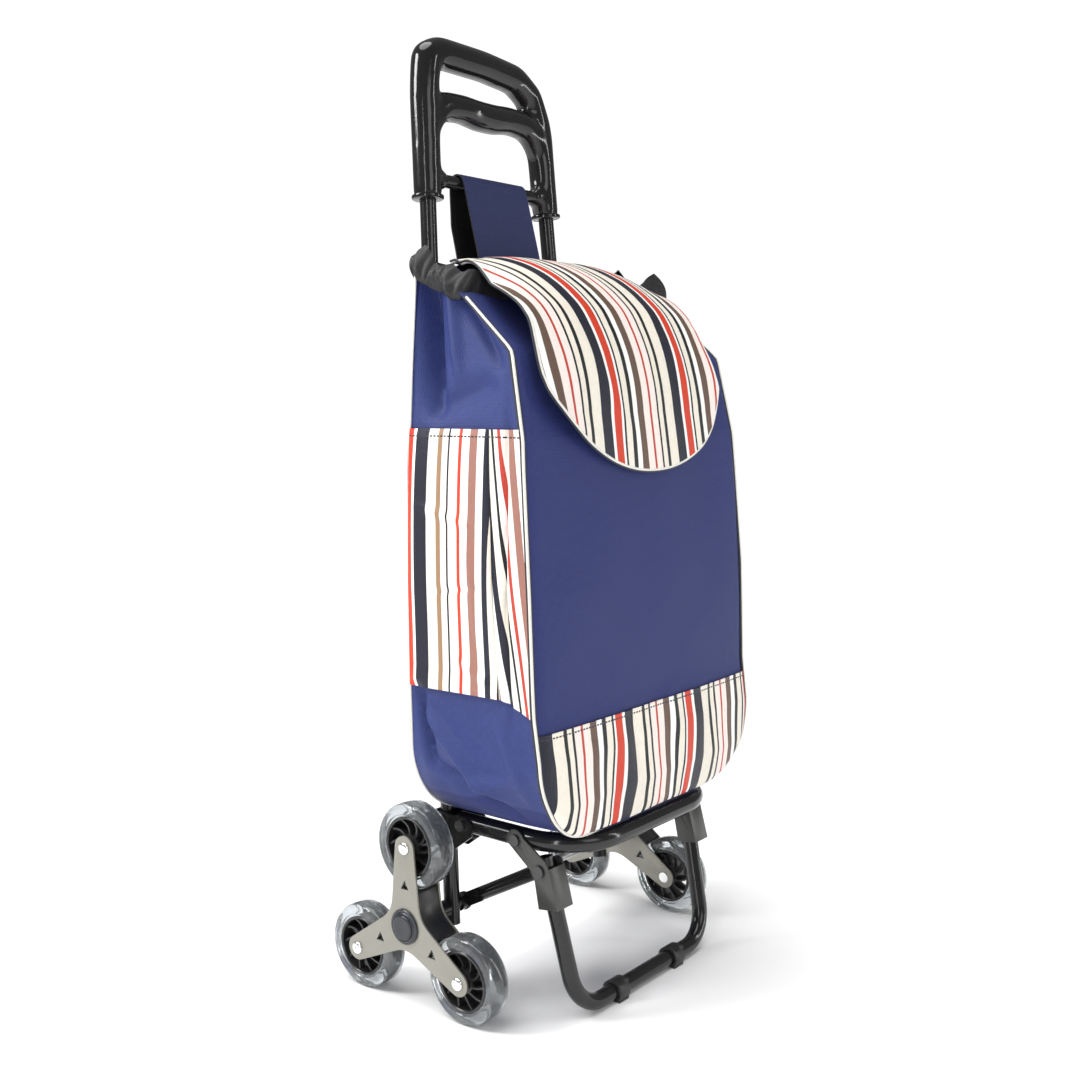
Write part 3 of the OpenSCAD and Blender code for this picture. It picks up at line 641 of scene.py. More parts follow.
front_curve = smoothed([0.170, 0.186, 0.215, 0.257, 0.30, 0.404, 0.54, 0.617, 0.671, 0.70],
                       [0.1475, 0.1545, 0.1585, 0.157, 0.1515, 0.148, 0.138, 0.122, 0.060, 0.027], 6)
side_curve = smoothed([0.170, 0.246, 0.32, 0.404, 0.52, 0.617, 0.671, 0.70],
                      [0.1755, 0.1765, 0.1785, 0.179, 0.1755, 0.169, 0.1645, 0.163])
corner_r, corner_x, bag_z = 0.080, 0.097, 0.178
back_f = 0.0015
shoulder_z, mouth_z = 0.671, 0.69


def front_of(z):
    return np.interp(z, heights, front_curve)


def half_of(z):
    round_part = corner_x + np.sqrt(np.clip(corner_r**2 - (bag_z + corner_r - z) ** 2, 0, None))
    return np.where(z < bag_z + corner_r, round_part, np.interp(z, heights, side_curve))


def ripple(a, b, seed):
    """Soft, wide random waves over two coordinates in metres; the same on every run."""
    chance = np.random.default_rng(seed)
    total = np.zeros(np.broadcast(a, b).shape)
    for _ in range(14):
        wave = chance.normal(0, 1, 2) / 0.055
        total = total + np.sin(wave[0] * a + wave[1] * b + chance.uniform(0, 6.28)) / 14**0.5
    return total


def creases(a, b, folds):
    """Height of the listed folds: (a0, b0) to (a1, b1), width and depth, each fading at its ends."""
    total = np.zeros(np.broadcast(a, b).shape)
    for a0, b0, a1, b1, width, depth in folds:
        da, db = a1 - a0, b1 - b0
        length2 = da * da + db * db
        t = ((a - a0) * da + (b - b0) * db) / length2
        across = ((a - a0) * db - (b - b0) * da) / length2**0.5
        fade = np.clip(1 - (2 * np.abs(t - 0.5)) ** 3, 0, 1)
        steep = 1 - 0.55 * (across > 0) * np.tanh(np.abs(across) / width)
        total = total + depth * fade * np.exp(-((across / width) ** 2)) * steep
    return total


def cloth_grid(name, columns, rows, place, uv=None, thickness=0.0014, offset=-1.0, cloths=()):
    """A sheet: a grid primitive whose points are set by place(u, v), u and v from 0 to 1."""
    put_away()
    bpy.ops.mesh.primitive_grid_add(x_subdivisions=columns, y_subdivisions=rows, size=1, location=(0, 0, 0))
    sheet = bpy.context.object
    sheet.name = name
    data = sheet.data
    co = points_of(data) + 0.5
    u, v = co[:, 0], co[:, 1]
    x, f, z = place(u, v)
    data.vertices.foreach_set("co", np.stack([x, axle_y - f, z], 1).ravel())
    if uv:
        layer = data.uv_layers.active or data.uv_layers.new(name="cloth")
        layer.name = "cloth"
        corner = np.zeros(len(data.loops), dtype=np.int32)
        data.loops.foreach_get("vertex_index", corner)
        s, t = uv(u, v)
        layer.data.foreach_set("uv", np.stack([s[corner], t[corner]], 1).ravel())
    data.update()
    pick(sheet)
    for cloth in cloths:
        data.materials.append(cloth)
    apply_modifier(sheet, "cloth_wall", "SOLIDIFY", thickness=thickness, offset=offset,
                   material_offset=max(len(cloths) - 1, 0))
    bpy.ops.object.shade_smooth_by_angle(angle=math.radians(60))
    return sheet


navy = finish("navy_oxford", (0.028, 0.038, 0.15), 0.5, (weave, 260.0, 0.3, 0.0004),
              ((0.0185, 0.0255, 0.108), (0.031, 0.0425, 0.16)), (0.42, 0.6), Specular_IOR_Level=0.2)
blue = finish("blue_oxford", (0.03, 0.044, 0.165), 0.46, (weave, 260.0, 0.35, 0.0004),
              ((0.024, 0.035, 0.137), (0.039, 0.056, 0.198)), (0.38, 0.54), Specular_IOR_Level=0.25)
lining = finish("black_lining", (0.012, 0.012, 0.013), 0.6, (weave, 300.0, 0.3, 0.0003),
                ((0.009, 0.009, 0.01), (0.017, 0.017, 0.019)), (0.5, 0.7), Specular_IOR_Level=0.25)


def front_point(x, z, out=0.0):
    u = x / half_of(z)
    crown = 0.0045 * (1 - u**2) - 0.004 * np.clip((np.abs(u) - 0.93) / 0.07, 0, 1) ** 2
    hang = creases(x, z, [(-0.1, 0.60, 0.12, 0.55, 0.03, 0.0012), (0.16, 0.40, 0.03, 0.31, 0.03, 0.0014),
                          (-0.15, 0.42, -0.04, 0.32, 0.03, 0.0012),
                          (-0.05, 0.29, -0.02, 0.19, 0.011, -0.0022), (0.02, 0.30, 0.05, 0.18, 0.013, 0.002),
                          (0.1, 0.29, 0.08, 0.2, 0.011, -0.002),
                          (-0.11, 0.27, -0.1, 0.19, 0.012, 0.0018)])
    return front_of(z) + crown + hang + 0.0011 * ripple(x, z, 3) + out


def front_sheet(u, v):
    z = bag_z + (shoulder_z - bag_z) * v
    x = (2 * u - 1) * half_of(z)
    return x, front_point(x, z), z


front_panel = cloth_grid("front_panel", 70, 130, front_sheet)


def flatten(piece):
    """The piece gets a mesh of its own."""
    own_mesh(piece)


def bag_piece(piece, material, node, body="frame"):
    """A sewn piece, shown in place of its CAD node, with a mesh of its own."""
    stand_in(piece, material, body, node)
    flatten(piece)


bag_piece(front_panel, navy, "bag_front_panel")


def distance_along(line):
    return np.concatenate([[0], np.cumsum(np.hypot(*np.diff(line, axis=0).T))])


def edge_line(count, top=mouth_z):
    """Points round the bag's outline from the left top, down, along the bottom and up to the right top."""
    z = np.linspace(top, bag_z + corner_r, 200)
    left = np.stack([-half_of(z), z], 1)
    a = np.radians(np.linspace(180, 270, 60))
    turn = np.stack([-corner_x + corner_r * np.cos(a), bag_z + corner_r + corner_r * np.sin(a)], 1)
    half = np.concatenate([left, turn])
    line = np.concatenate([half, half[::-1] * [-1, 1]])
    step = distance_along(line)
    s = np.linspace(0, step[-1], count)
    return np.stack([np.interp(s, step, line[:, 0]), np.interp(s, step, line[:, 1])], 1), s


outline, outline_s = edge_line(1200)
outline_t = outline_s / outline_s[-1]
left_folds = [(0.008, 0.70, 0.030, 0.555, 0.010, -0.020), (0.034, 0.70, 0.058, 0.59, 0.008, 0.009),
              (0.048, 0.676, 0.110, 0.598, 0.007, -0.010),
              (0.066, 0.664, 0.126, 0.622, 0.007, 0.008), (0.085, 0.668, 0.128, 0.640, 0.006, -0.006),
              (0.02, 0.56, 0.105, 0.592, 0.011, -0.007),
              (0.118, 0.60, 0.122, 0.27, 0.0035, -0.005), (0.012, 0.30, 0.10, 0.212, 0.007, 0.009),
              (0.022, 0.245, 0.12, 0.193, 0.007, -0.010),
              (0.010, 0.318, 0.030, 0.235, 0.006, -0.012), (0.1, 0.30, 0.14, 0.215, 0.010, 0.006),
              (0.04, 0.222, 0.13, 0.236, 0.006, 0.006)]
right_folds = [(0.015, 0.685, 0.06, 0.57, 0.012, -0.009), (0.05, 0.67, 0.09, 0.59, 0.011, 0.006),
               (0.1, 0.655, 0.07, 0.58, 0.012, -0.006),
               (0.118, 0.60, 0.12, 0.28, 0.004, -0.003), (0.03, 0.29, 0.09, 0.23, 0.013, 0.005),
               (0.02, 0.25, 0.13, 0.205, 0.012, -0.006)]


def side_place(x, z, f, out=0.0):
    """A point of the gusset moved along the outline's outward normal by its sag, folds and waves."""
    depth = front_of(z) - back_f
    v = np.clip((f - back_f) / depth, 0, 1)
    belly = np.sin(np.pi * v) ** 0.8
    high = np.clip((z - 0.52) / 0.17, 0, 1)
    low = np.clip((0.30 - z) / 0.10, 0, 1)
    sag = -0.003 * belly - 0.008 * belly * high**2 + 0.004 * belly * low
    folds = np.where(x < 0, creases(f, z, left_folds), creases(f, z, right_folds))
    held = np.clip(np.sin(np.pi * v) * 3, 0, 1)
    move = sag + held * (folds + 0.0016 * ripple(f, z + 0.3 * np.sign(x), 11)) + out
    nx = np.where(z > bag_z + corner_r, np.sign(x), (x - np.sign(x) * corner_x) / corner_r)
    nz = np.where(z > bag_z + corner_r, 0.0, (z - bag_z - corner_r) / corner_r)
    flat = np.abs(x) < corner_x
    nx, nz = np.where(flat, 0.0, nx), np.where(flat, -1.0, nz)
    move = np.where(flat, np.clip(move, -0.004, 0.0006), move)
    move = np.where(z < 0.2, np.minimum(move, 0.0012), move)
    return x + nx * move, f, z + nz * move


def gusset(name, t0, t1, columns):
    def place(u, v):
        t = t0 + (t1 - t0) * u
        x, z = np.interp(t, outline_t, outline[:, 0]), np.interp(t, outline_t, outline[:, 1])
        f = back_f + (front_of(z) - 0.004 - back_f) * v
        return side_place(x, z, f)
    return cloth_grid(name, columns, 46, place)


bend_t = np.interp(0.432 + 0.05, outline_s, outline_t)
for name, t0, t1, columns, node, cloth, slot_name in (
        ("left_gusset", 0.0, bend_t, 130, "bag_side_left", blue, "blue_cloth"),
        ("bottom_gusset", bend_t, 1 - bend_t, 90, "bag_bottom", navy, "navy_cloth"),
        ("right_gusset", 1 - bend_t, 1.0, 130, "bag_side_right", blue, "blue_cloth")):
    piece = gusset(name, t0, t1, columns)
    bag_piece(piece, cloth, node)


def back_sheet(u, v):
    flat_x = (2 * u - 1) * 0.163
    z = bag_z + (mouth_z + 0.0125 * np.clip((0.125 - np.abs(flat_x)) / 0.02, 0, 1) - bag_z) * v
    x = (2 * u - 1) * half_of(z)
    return x, back_f + 0.0012 * ripple(x, z,
        23) - 0.0008 + 0.003 * (1 - (x / 0.18) ** 2) * np.sin(np.pi * v), z


back_panel = cloth_grid("back_panel", 60, 90, back_sheet, offset=1.0)
bag_piece(back_panel, navy, "bag_back_panel")

board = finish("fibre_board", (0.2, 0.17, 0.13), 0.8, (mottle, 60.0, 0.3, 0.001),
               ((0.15, 0.125, 0.095), (0.25, 0.21, 0.165)), (0.7, 0.9))
base_board = rounded_copy("base_board", "stiff_base_board", 0.0008, "frame", board)
flatten(base_board)

# ---- Striped cloth: bottom band and side pockets ----
# Printed coated cloth. The stripes are written as (width in mm, colour) and repeat;
# UVs are metres across and metres down from the hem, where a row of dark stitches runs.
cream, white_ink, pink = (0.84, 0.79, 0.69), (0.93, 0.92, 0.89), (0.9, 0.8, 0.75)
black_ink, navy_ink = (0.008, 0.008, 0.011), (0.012, 0.013, 0.026)
red_ink, thin_red = (0.62, 0.045, 0.016), (0.5, 0.05, 0.03)
taupe, mauve, tan = (0.13, 0.078, 0.055), (0.34, 0.16, 0.125), (0.34, 0.2, 0.11)
band_stripes = [(14.5, cream), (4.5, black_ink), (7, cream), (3, black_ink), (9.5, pink), (3.5, thin_red),
                (10.5, pink), (10, taupe),
                (8, white_ink), (6, black_ink), (9, cream), (3, black_ink), (3, white_ink), (11, red_ink),
                (4.5, white_ink), (14.5, navy_ink)]
pocket_stripes = [(6, red_ink), (3.5, white_ink), (15, navy_ink), (12, cream), (5, tan), (7, white_ink),
                  (2, black_ink), (11, pink),
                  (4, red_ink), (9, white_ink), (9, mauve), (8, white_ink), (6.5, navy_ink), (7, cream),
                  (2.5, black_ink), (5, white_ink),
                  (4, thin_red), (7, pink), (8, mauve), (6, white_ink)]


half_stitch, gap_share = 0.0007, 0.14


def striped(name, stripes, hem=None, dashes=0.0042):
    """Cloth printed with a repeating row of stripes, with a line of stitches this far under the hem."""
    material = new_material(name, cream, 0.4, Specular_IOR_Level=0.3)
    tree = material.node_tree
    nodes, link = tree.nodes, tree.links.new
    shader = nodes["Principled BSDF"]
    place = nodes.new("ShaderNodeUVMap")
    place.uv_map = "cloth"
    split = nodes.new("ShaderNodeSeparateXYZ")
    link(place.outputs["UV"], split.inputs[0])
    total = sum(width for width, _ in stripes)
    part = add_math(tree, "FRACT", add_math(tree, "MULTIPLY", split.outputs["X"], 1000 / total), None)
    ramp = nodes.new("ShaderNodeValToRGB")
    ramp.color_ramp.interpolation = "CONSTANT"
    link(part, ramp.inputs["Fac"])
    start = 0.0
    for k, (width, colour) in enumerate(stripes):
        stop = ramp.color_ramp.elements[0] if k == 0 else ramp.color_ramp.elements.new(start / total)
        stop.color = (*colour, 1)
        start += width
    ramp.color_ramp.elements.remove(ramp.color_ramp.elements[-1])
    worn = nodes.new("ShaderNodeMix")
    worn.data_type = "RGBA"
    worn.blend_type = "MULTIPLY"
    worn.inputs[0].default_value = 1.0
    link(ramp.outputs["Color"], worn.inputs[6])
    fibre = nodes.new("ShaderNodeGroup")
    fibre.node_tree = weave
    fibre.inputs["Threads"].default_value = 300.0
    shade = add_node(tree, "MapRange", To_Min=0.88, To_Max=1.04)
    link(fibre.outputs["Mask"], shade.inputs["Value"])
    grey = nodes.new("ShaderNodeCombineColor")
    for k in range(3):
        link(shade.outputs[0], grey.inputs[k])
    link(grey.outputs[0], worn.inputs[7])
    bump = add_node(tree, "Bump", Strength=0.3, Distance=0.0003)
    link(fibre.outputs["Height"], bump.inputs["Height"])
    link(bump.outputs["Normal"], shader.inputs["Normal"])
    colour = worn.outputs[2]
    if hem:
        on_line = add_math(tree, "COMPARE", split.outputs["Y"], hem)
        on_line.node.inputs[2].default_value = half_stitch
        beat = add_math(tree, "PINGPONG", split.outputs["X"], dashes / 2)
        both = add_math(tree, "MULTIPLY", on_line, add_math(tree, "GREATER_THAN", beat, dashes * gap_share))
        sewn = nodes.new("ShaderNodeMix")
        sewn.data_type = "RGBA"
        sewn.inputs[7].default_value = (0.03, 0.03, 0.035, 1)
        link(both, sewn.inputs[0])
        link(colour, sewn.inputs[6])
        colour = sewn.outputs[2]
    link(colour, shader.inputs["Base Color"])
    return material


band_cloth = striped("striped_band", band_stripes, 0.0042)
pocket_cloth = striped("striped_pocket", pocket_stripes, 0.0065)
band_top, band_low = 0.285, bag_z + 0.0035


def band_place(u, v):
    z = band_low + (band_top - band_low) * v
    x = (2 * u - 1) * (half_of(z) - 0.0022)
    return x, front_point(x, z, 0.0009 + 0.0004 * (v > 0.985)), z


def band_uv(u, v):
    z = band_low + (band_top - band_low) * v
    x = (2 * u - 1) * half_of(z)
    sway = 0.0055 * np.sin(x * 52 + z * 26) * np.clip((0.272 - z) / 0.06, 0, 1) ** 1.2
    return x + 0.164 + sway, band_top - z


front_band = cloth_grid("striped_bottom_band", 220, 64, band_place, band_uv, thickness=0.001, offset=1.0)
bag_piece(front_band, band_cloth, "front_band")
pocket_low, pocket_high, pocket_f0, pleat = 0.312, 0.549, 0.004, 0.0985


def pocket_shape(u, v):
    """Height, distance from the back and the pleat's place, for a point of the pocket."""
    z0 = pocket_low - 0.013 * np.clip((u - 0.7) / 0.3, 0, 1) ** 1.2
    z = z0 + (pocket_high - z0) * v
    tuck, end = pleat + 0.012 * (1 - v), front_of(z) - 0.0032
    f = np.where(u <= 0.7, pocket_f0 + (tuck - pocket_f0) * u / 0.7, tuck + (end - tuck) * (u - 0.7) / 0.3)
    return z, f, tuck


def pocket(name, sign):
    def place(u, v):
        z, f, tuck = pocket_shape(u, v)
        x = sign * half_of(z)
        body = np.clip((f - pocket_f0) / 0.008, 0, 1) * np.clip((tuck - f) / 0.0022 + 0.5, 0, 1)
        under_hem = np.clip((1 - v) * 20 + 0.55, 0, 1)
        fullness = 0.0018 + 0.0034 * body * (0.6 + 0.4 * np.sin(np.pi * v)) * under_hem
        far = np.clip((f - tuck) / 0.03, 0, 1)
        wave = 0.0009 * ripple(f * 0.7, z, 41 + sign) + 0.0022 * far * np.sin(f * 190 + z * 9) * (1 - 0.5 * v)
        crease = creases(f, z, [(0.012, 0.48, 0.09, 0.462, 0.005, 0.0016),
            (0.03, 0.40, 0.095, 0.41, 0.004, -0.0014),
                                (0.075, 0.47, 0.09, 0.35, 0.005, 0.0012),
                                (0.06, 0.345, 0.1, 0.322, 0.005, 0.0015)])
        return side_place(x, z, f, np.maximum(fullness + wave * np.clip(v * 12, 0.2, 1) + crease, 0.0014))

    def uv(u, v):
        z, f, tuck = pocket_shape(u, v)
        beyond = np.clip(f - tuck, 0, 1)
        across = np.where(u > 0.7001, 0.103 + beyond - 0.022 * (1 - v), f - pocket_f0)
        return across, (1 - v) * (pocket_high - pocket_low)

    return cloth_grid(name, 150, 110, place, uv, thickness=0.001, offset=-1.0 * sign)


for side, sign in (("left", -1), ("right", 1)):
    bag_piece(pocket("striped_pocket_" + side, sign), pocket_cloth, "pocket_" + side)

# ---- Piping ----
# White piping with dark tubes beside it, a painted shadow of the seam, along the front seam and, thinner,
# along the back seam.
white_cord = finish("white_piping", (0.78, 0.76, 0.7), 0.4, (weave, 420.0, 0.4, 0.0003),
                    ((0.7, 0.68, 0.62), (0.82, 0.8, 0.75)), (0.35, 0.5))
# Dark cloth that paints the seam's shadow as tubes beside the white cord; the flap's rolled hem is made of it
# too.
hem_and_seam_shadow = finish("dark_hem_and_seam_shadow", (0.02, 0.021, 0.03), 0.55, (weave, 320.0, 0.3, 0.0003),
                 ((0.016, 0.017, 0.024), (0.03, 0.031, 0.042)), (0.45, 0.65))


def piping(name, path, radius, shadow_edges):
    """White cord along a path with dark tubes beside it that paint the seam's shadow: (offset, radius) pairs
    for these painted shadow edges.
    """
    cords = [swept("white_cord", [(p, radius) for p in path], 2, 3)]
    give(cords[0], white_cord)
    for move, size in shadow_edges:
        edge = swept("edge", [(p + Vector(m), size) for p, m in zip(path, move)], 2, 2)
        give(edge, hem_and_seam_shadow)
        cords.append(edge)
    return joined(name, cords)


def seam_path(count, top, f_at, out):
    line, s = edge_line(count, top)
    points, sides, fronts = [], [], []
    for k in range(count):
        x, z = line[k]
        ahead, behind = line[min(k + 1, count - 1)], line[max(k - 1, 0)]
        along = (ahead - behind) / np.hypot(*(ahead - behind))
        nx, nz = along[1], -along[0]
        if nx * x < 0 or (abs(x) < corner_x and nz > 0):
            nx, nz = -nx, -nz
        points.append(at(f_at(z), z + nz * out, x + nx * out))
        sides.append((-nx * 0.0021, 0.0004, -nz * 0.0021))
        fronts.append((nx * 0.0006, 0.0022, nz * 0.0006))
    return points, sides, fronts


path, sides, fronts = seam_path(260, 0.665, lambda z: float(front_of(z)) - 0.0012, 0.0004)
front_piping = piping("front_piping", path, 0.0014, [(sides, 0.0014), (fronts, 0.0012)])
bag_piece(front_piping, None, "piping_front")
path, sides, fronts = seam_path(220, mouth_z, lambda z: back_f + 0.001, 0.0002)
back_piping = piping("back_piping", path, 0.0012, [(sides, 0.0012)])
bag_piece(back_piping, None, "piping_back")

# ---- Collar ----
# A gathered black nylon collar round the mouth. Each control row gives its seam, its fullest
# point and its top edge, in mm across, in front of the axle and up, so the corners peak.
nylon = finish("black_nylon", (0.012, 0.012, 0.013), 0.36, (weave, 340.0, 0.35, 0.0003),
               ((0.008, 0.008, 0.009), (0.018, 0.018, 0.02)), (0.28, 0.46), Specular_IOR_Level=0.4)
collar_rows = [
    ((-160, -1, 684), (-165, -4, 694), (-160, -9, 703)), ((-162, 5, 682), (-168, 3, 698), (-158, 6, 717)),
    ((-162, 14, 679), (-163, 15, 688), (-154, 17, 701)),
    ((-162, 24, 674), (-168, 26, 690), (-153, 27, 694)), ((-163, 36, 671), (-171, 37, 688), (-156, 36, 697)),
    ((-164, 46, 664), (-174, 46, 676), (-158, 50, 690)),
    ((-162, 55, 664), (-162, 60, 674), (-146, 56, 690)), ((-125, 66, 664), (-125, 64, 680), (-120, 52, 692)),
    ((-60, 66, 664), (-60, 64, 682), (-60, 46, 696)),
    ((0, 66, 664), (0, 64, 682), (0, 46, 697)), ((60, 66, 664), (60, 64, 682), (60, 46, 696)),
    ((125, 66, 664), (128, 64, 682), (122, 52, 694)),
    ((160, 58, 668), (170, 58, 690), (158, 50, 709)), ((162, 44, 670), (172, 42, 686), (160, 38, 692)),
    ((162, 28, 674), (166, 25, 685), (156, 23, 690)),
    ((161, 8, 680), (166, 5, 698), (152, 6, 716)), ((140, 1, 686), (142, -3, 697), (134, 3, 706)),
    ((60, 1, 686), (60, -2, 693), (60, 7, 698)),
    ((0, 1, 686), (0, -2, 693), (0, 7, 698)), ((-60, 1, 686), (-60, -2, 693), (-60, 7, 698)),
    ((-138, 1, 686), (-141, -4, 695), (-136, 2, 703))]


def collar_place(u, v):
    rows = np.array(collar_rows).reshape(-1, 9) / 1000
    count = len(rows)
    knots = np.arange(-2, count + 3)
    table = rows[knots % count]
    fine = np.linspace(-1, count + 1, 60 * count)
    spread = np.stack([np.interp(fine, knots, table[:, c]) for c in range(9)])
    kernel = np.hanning(19) / np.hanning(19).sum()
    soft = np.stack([np.convolve(row, kernel, mode="same") for row in spread])
    seam, mid, top = np.array([np.interp(u * count, fine, row) for row in soft]).reshape(3, 3, -1)
    p = seam * (1 - v) ** 2 + (2 * mid - 0.5 * seam - 0.5 * top) * 2 * v * (1 - v) + top * v**2
    out = seam - np.array([[0.0], [0.031], [0.0]])
    out[2] = 0
    out /= np.hypot(out[0], out[1])
    span = u * count
    broad = 0.0008 * np.sin(span * 5.2 + 2.1 * np.sin(span * 1.3) + 3 * v)
    gather = broad + 0.0006 * np.sin(span * 13.0 + 2 * np.cos(span * 1.7) - 2 * v)
    lump = 0.0018 * ripple(p[0], p[2] + p[1], 77)
    p = p + out * (gather + lump) * np.clip(v * 2.5, 0.05, 1)
    p[2] += v * 0.0016 * np.sin(span * 4.3 + 1.3)
    return p


collar = cloth_grid("gathered_collar", 480, 30, collar_place, thickness=0.0011, offset=0.0)
pick(collar)
bpy.ops.object.mode_set(mode="EDIT")
bpy.ops.mesh.select_all(action="SELECT")
bpy.ops.mesh.remove_doubles(threshold=0.00002)
bpy.ops.object.mode_set(mode="OBJECT")
bag_piece(collar, nylon, "bag_collar")

# ---- Strap ----
# A wide navy strap, black inside, looped over the strap bar with its rear layer slack. Its
# line is in mm in front of the axle and up, from the seam behind, over the bar and down.
bar_low, bar_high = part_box("strap_bar")
bar_f, bar_z = 1000 * (axle_y - (bar_low.y + bar_high.y) / 2), 1000 * (bar_low.z + bar_high.z) / 2
strap_line = [(3.0, 586), (1.6, 612), (-6, 632), (-26, 672), (-47, 712), (-56.5, 748),
              (bar_f - 8.2, bar_z - 12)]
strap_line += [(bar_f - 8.2 * math.cos(a), bar_z + 8.2 * math.sin(a)) for a in np.linspace(0, math.pi, 13)]
strap_line += [(bar_f + 12.5, bar_z - 16), (-17, 696), (-2, 636), (3.7, 612), (4.4, 590)]
strap_line = np.array(strap_line) / 1000
strap_s = distance_along(strap_line)
strap_w = 0.0985


def strap_place(u, v):
    fine = np.linspace(0, strap_s[-1], 900)
    line = np.stack([np.interp(fine, strap_s, strap_line[:, c]) for c in range(2)])
    line = [softened(row, 12) for row in line]
    s = v * strap_s[-1]
    f, z = np.interp(s, fine, line[0]), np.interp(s, fine, line[1])
    rear = np.clip((0.19 - s) / 0.19, 0, 1) * np.clip(s / 0.03, 0, 1)
    x = (u - 0.5) * strap_w - 0.006 * rear
    slack = 0.0018 * ripple(x, z, 91) + 0.004 * np.sin((u - 0.2) * 5) * np.sin(s * 24)
    wave = rear * slack + 0.0004 * ripple(x, z, 92)
    under_bar = np.clip((bar_z / 1000 - z) / 0.02, 0, 1)
    return x, f + np.minimum(wave, 0.004) * under_bar * np.clip((z - 0.625) / 0.02, 0, 1), z


strap_cloth = finish("strap_oxford", (0.028, 0.036, 0.1), 0.5, (weave, 260.0, 0.35, 0.0004),
                     ((0.022, 0.028, 0.082), (0.035, 0.044, 0.12)), (0.46, 0.6), Specular_IOR_Level=0.2)
strap = cloth_grid("hanging_strap", 30, 300, strap_place, thickness=0.0014, offset=-1.0,
                   cloths=(lining, strap_cloth))
stand_in(strap, None, "frame", "strap_loop")

# ---- Flap ----
# Striped cloth over the mouth: crowned along its middle, drooping and waving at its free
# edges, bound in white piping, with a rolled hem at the hinge. The stripes run from the
# hinge to the front edge.
flap_line = np.array([(4, 707.5), (20, 709.5), (40, 707.5), (62, 700), (80, 690.5), (98, 677), (115, 659.5),
                      (128, 637), (137, 616),
                                      (144, 592), (148.5, 568), (150.5, 545), (151.5, 525),
                                      (152, 508)]) / 1000
flap_s = distance_along(flap_line)
flap_length = flap_s[-1]
fine_s = np.linspace(0, flap_length, 600)
flap_fine = np.stack([np.interp(fine_s, flap_s, flap_line[:, c]) for c in range(2)])
flap_fine = [softened(row, 30) for row in flap_fine]


def flap_half(s):
    low = flap_length - s
    tail = 0.139 * np.sqrt(np.clip(1 - np.clip(1 - low / 0.1, 0, 1) ** 2, 0.0, None)) + 0.002
    body = np.interp(s, [0, 0.04, 0.085, 0.125, 0.16, 0.2, 0.25],
                     [0.107, 0.118, 0.131, 0.137, 0.138, 0.1375, 0.137])
    return np.minimum(tail, body)


def flap_middle(s):
    """The flap hangs a little askew: its middle line drifts across the bag as it comes down."""
    return np.interp(flap_length - s, [0, 0.02, 0.04, 0.065, 0.09, 0.2, 0.31],
                     [0.006, 0.005, 0.001, -0.008, -0.012, -0.012, -0.008])


def flap_point(x, s, out=0.0):
    f, z = np.interp(s, fine_s, flap_fine[0]), np.interp(s, fine_s, flap_fine[1])
    step = 0.002
    df = np.interp(s + step, fine_s, flap_fine[0]) - np.interp(s - step, fine_s, flap_fine[0])
    dz = np.interp(s + step, fine_s, flap_fine[1]) - np.interp(s - step, fine_s, flap_fine[1])
    size = np.hypot(df, dz)
    nf, nz = -dz / size, df / size
    edge = np.abs(x) / flap_half(s)
    upper = np.clip((0.145 - s) / 0.06, 0, 1)
    droop = -0.0095 * upper * edge**4 * np.clip(s / 0.02, 0.45, 1)
    crown = 0.003 * (1 - edge**2) * upper
    rim = np.clip((edge - 0.7) / 0.3, 0, 1) ** 2
    flutter = 0.0028 * rim * np.sin(s * 62 + np.sign(x) * 1.2 + 0.6)
    flutter = flutter * np.clip((0.27 - s) / 0.05, 0, 1) * np.clip(s / 0.03, 0, 1)
    lift = np.clip((0.27 - s) / 0.12, 0, 1) * 0.0008 * ripple(x, s, 55)
    soft = creases(x, s, [(-0.10, 0.10, -0.02, 0.28, 0.016, 0.0016), (0.04, 0.08, 0.10, 0.24, 0.018, 0.0014)])
    move = droop + crown + flutter + np.maximum(lift, -0.0006) + soft + out
    floor = np.where(s > 0.11, np.maximum(f + nf * move, front_of(z) + 0.0062), f + nf * move)
    return x + flap_middle(s), floor, z + nz * move


def flap_along(v):
    """Metres from the hinge, with the rows drawn together toward the front edge."""
    return flap_length * (1 - (1 - v) ** 1.7)


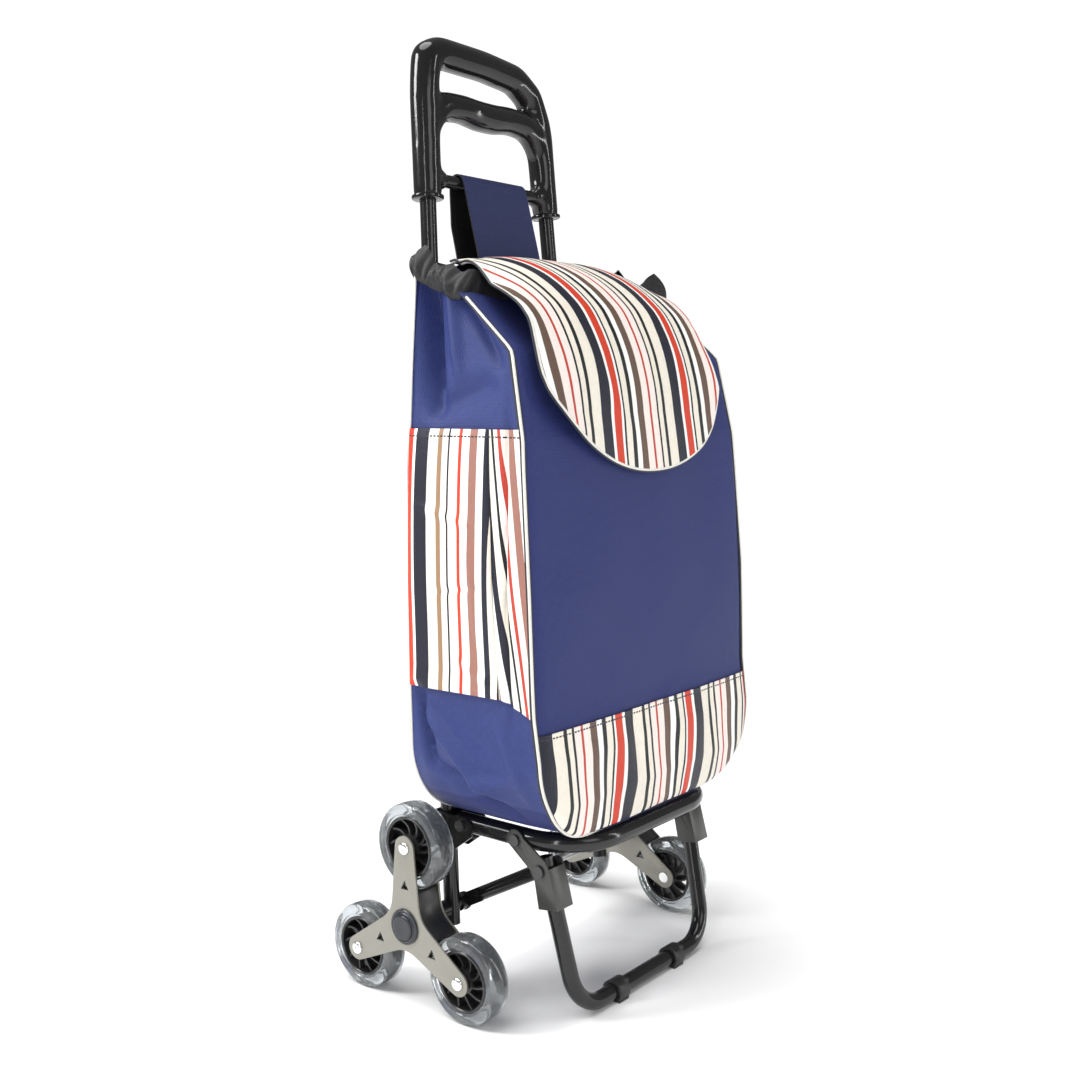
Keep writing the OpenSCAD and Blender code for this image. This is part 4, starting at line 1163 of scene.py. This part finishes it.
def flap_place(u, v):
    s = flap_along(v)
    return flap_point((2 * u - 1) * flap_half(s), s)


def flap_uv(u, v):
    s = flap_along(v)
    x = (2 * u - 1) * flap_half(s) + flap_middle(s)
    fan = 0.030 * np.clip((0.14 - s) / 0.14, 0, 1) ** 1.3 - 0.011 * np.clip((s - 0.23) / 0.09, 0, 1)
    sway = 0.0016 * np.sin(s * 30 + x * 12) + 0.004 * np.clip((s - 0.285) / 0.02, 0, 1) * np.sin(x * 70)
    return x + 0.142 + fan + sway, s


flap_cloth = striped("striped_flap",
                     [band_stripes[k] for k in (7, 6, 5, 4, 3, 2, 1, 0, 15, 14, 13, 12, 11, 10, 9, 8)])
flap = cloth_grid("striped_flap", 200, 190, flap_place, flap_uv, thickness=0.0011, offset=-1.0)
bag_piece(flap, flap_cloth, "flap", "flap")

edge_s = flap_length * (1 - (1 - np.linspace(0, 1, 190)) ** 2.2)
bottom_x = np.linspace(-0.004, 0.004, 5)[1:-1]


def rim_point(x, s, out):
    shifted, f, z = flap_point(np.array(x), np.array(s), out)
    return at(float(f), float(z), float(shifted))


rim_path = [rim_point(-float(flap_half(s)) - 0.0005, s, 0.0) for s in edge_s]
rim_path += [rim_point(x, flap_length, 0.0) for x in bottom_x]
rim_path += [rim_point(float(flap_half(s)) + 0.0005, s, 0.0) for s in edge_s[::-1]]
inward = []
for k, p in enumerate(rim_path):
    along = (rim_path[min(k + 1, len(rim_path) - 1)] - rim_path[max(k - 1, 0)]).normalized()
    side = along.cross(Vector((0, -1, 0.3))).normalized()
    toward = Vector((0, p.y, 0.62)) - p
    inward.append(side * (0.0022 if side.dot(toward) > 0 else -0.0022))
# The dark tube under the flap's white cord is painted shadow along the edge; the rolled hem is dark cloth of
# its own.
flap_cord = piping("flap_piping", rim_path, 0.0015,
                   [([-m * 0.75 + Vector((0, 0.0008, 0)) for m in inward], 0.0012)])
hem = swept("rolled_hem", [(at(0.004, 0.7045, x), 0.0024) for x in np.linspace(-0.112, 0.1, 24)], 2, 3)
give(hem, hem_and_seam_shadow)
flap_cord = joined("flap_piping", [flap_cord, hem])
bag_piece(flap_cord, None, "flap_piping", "flap")
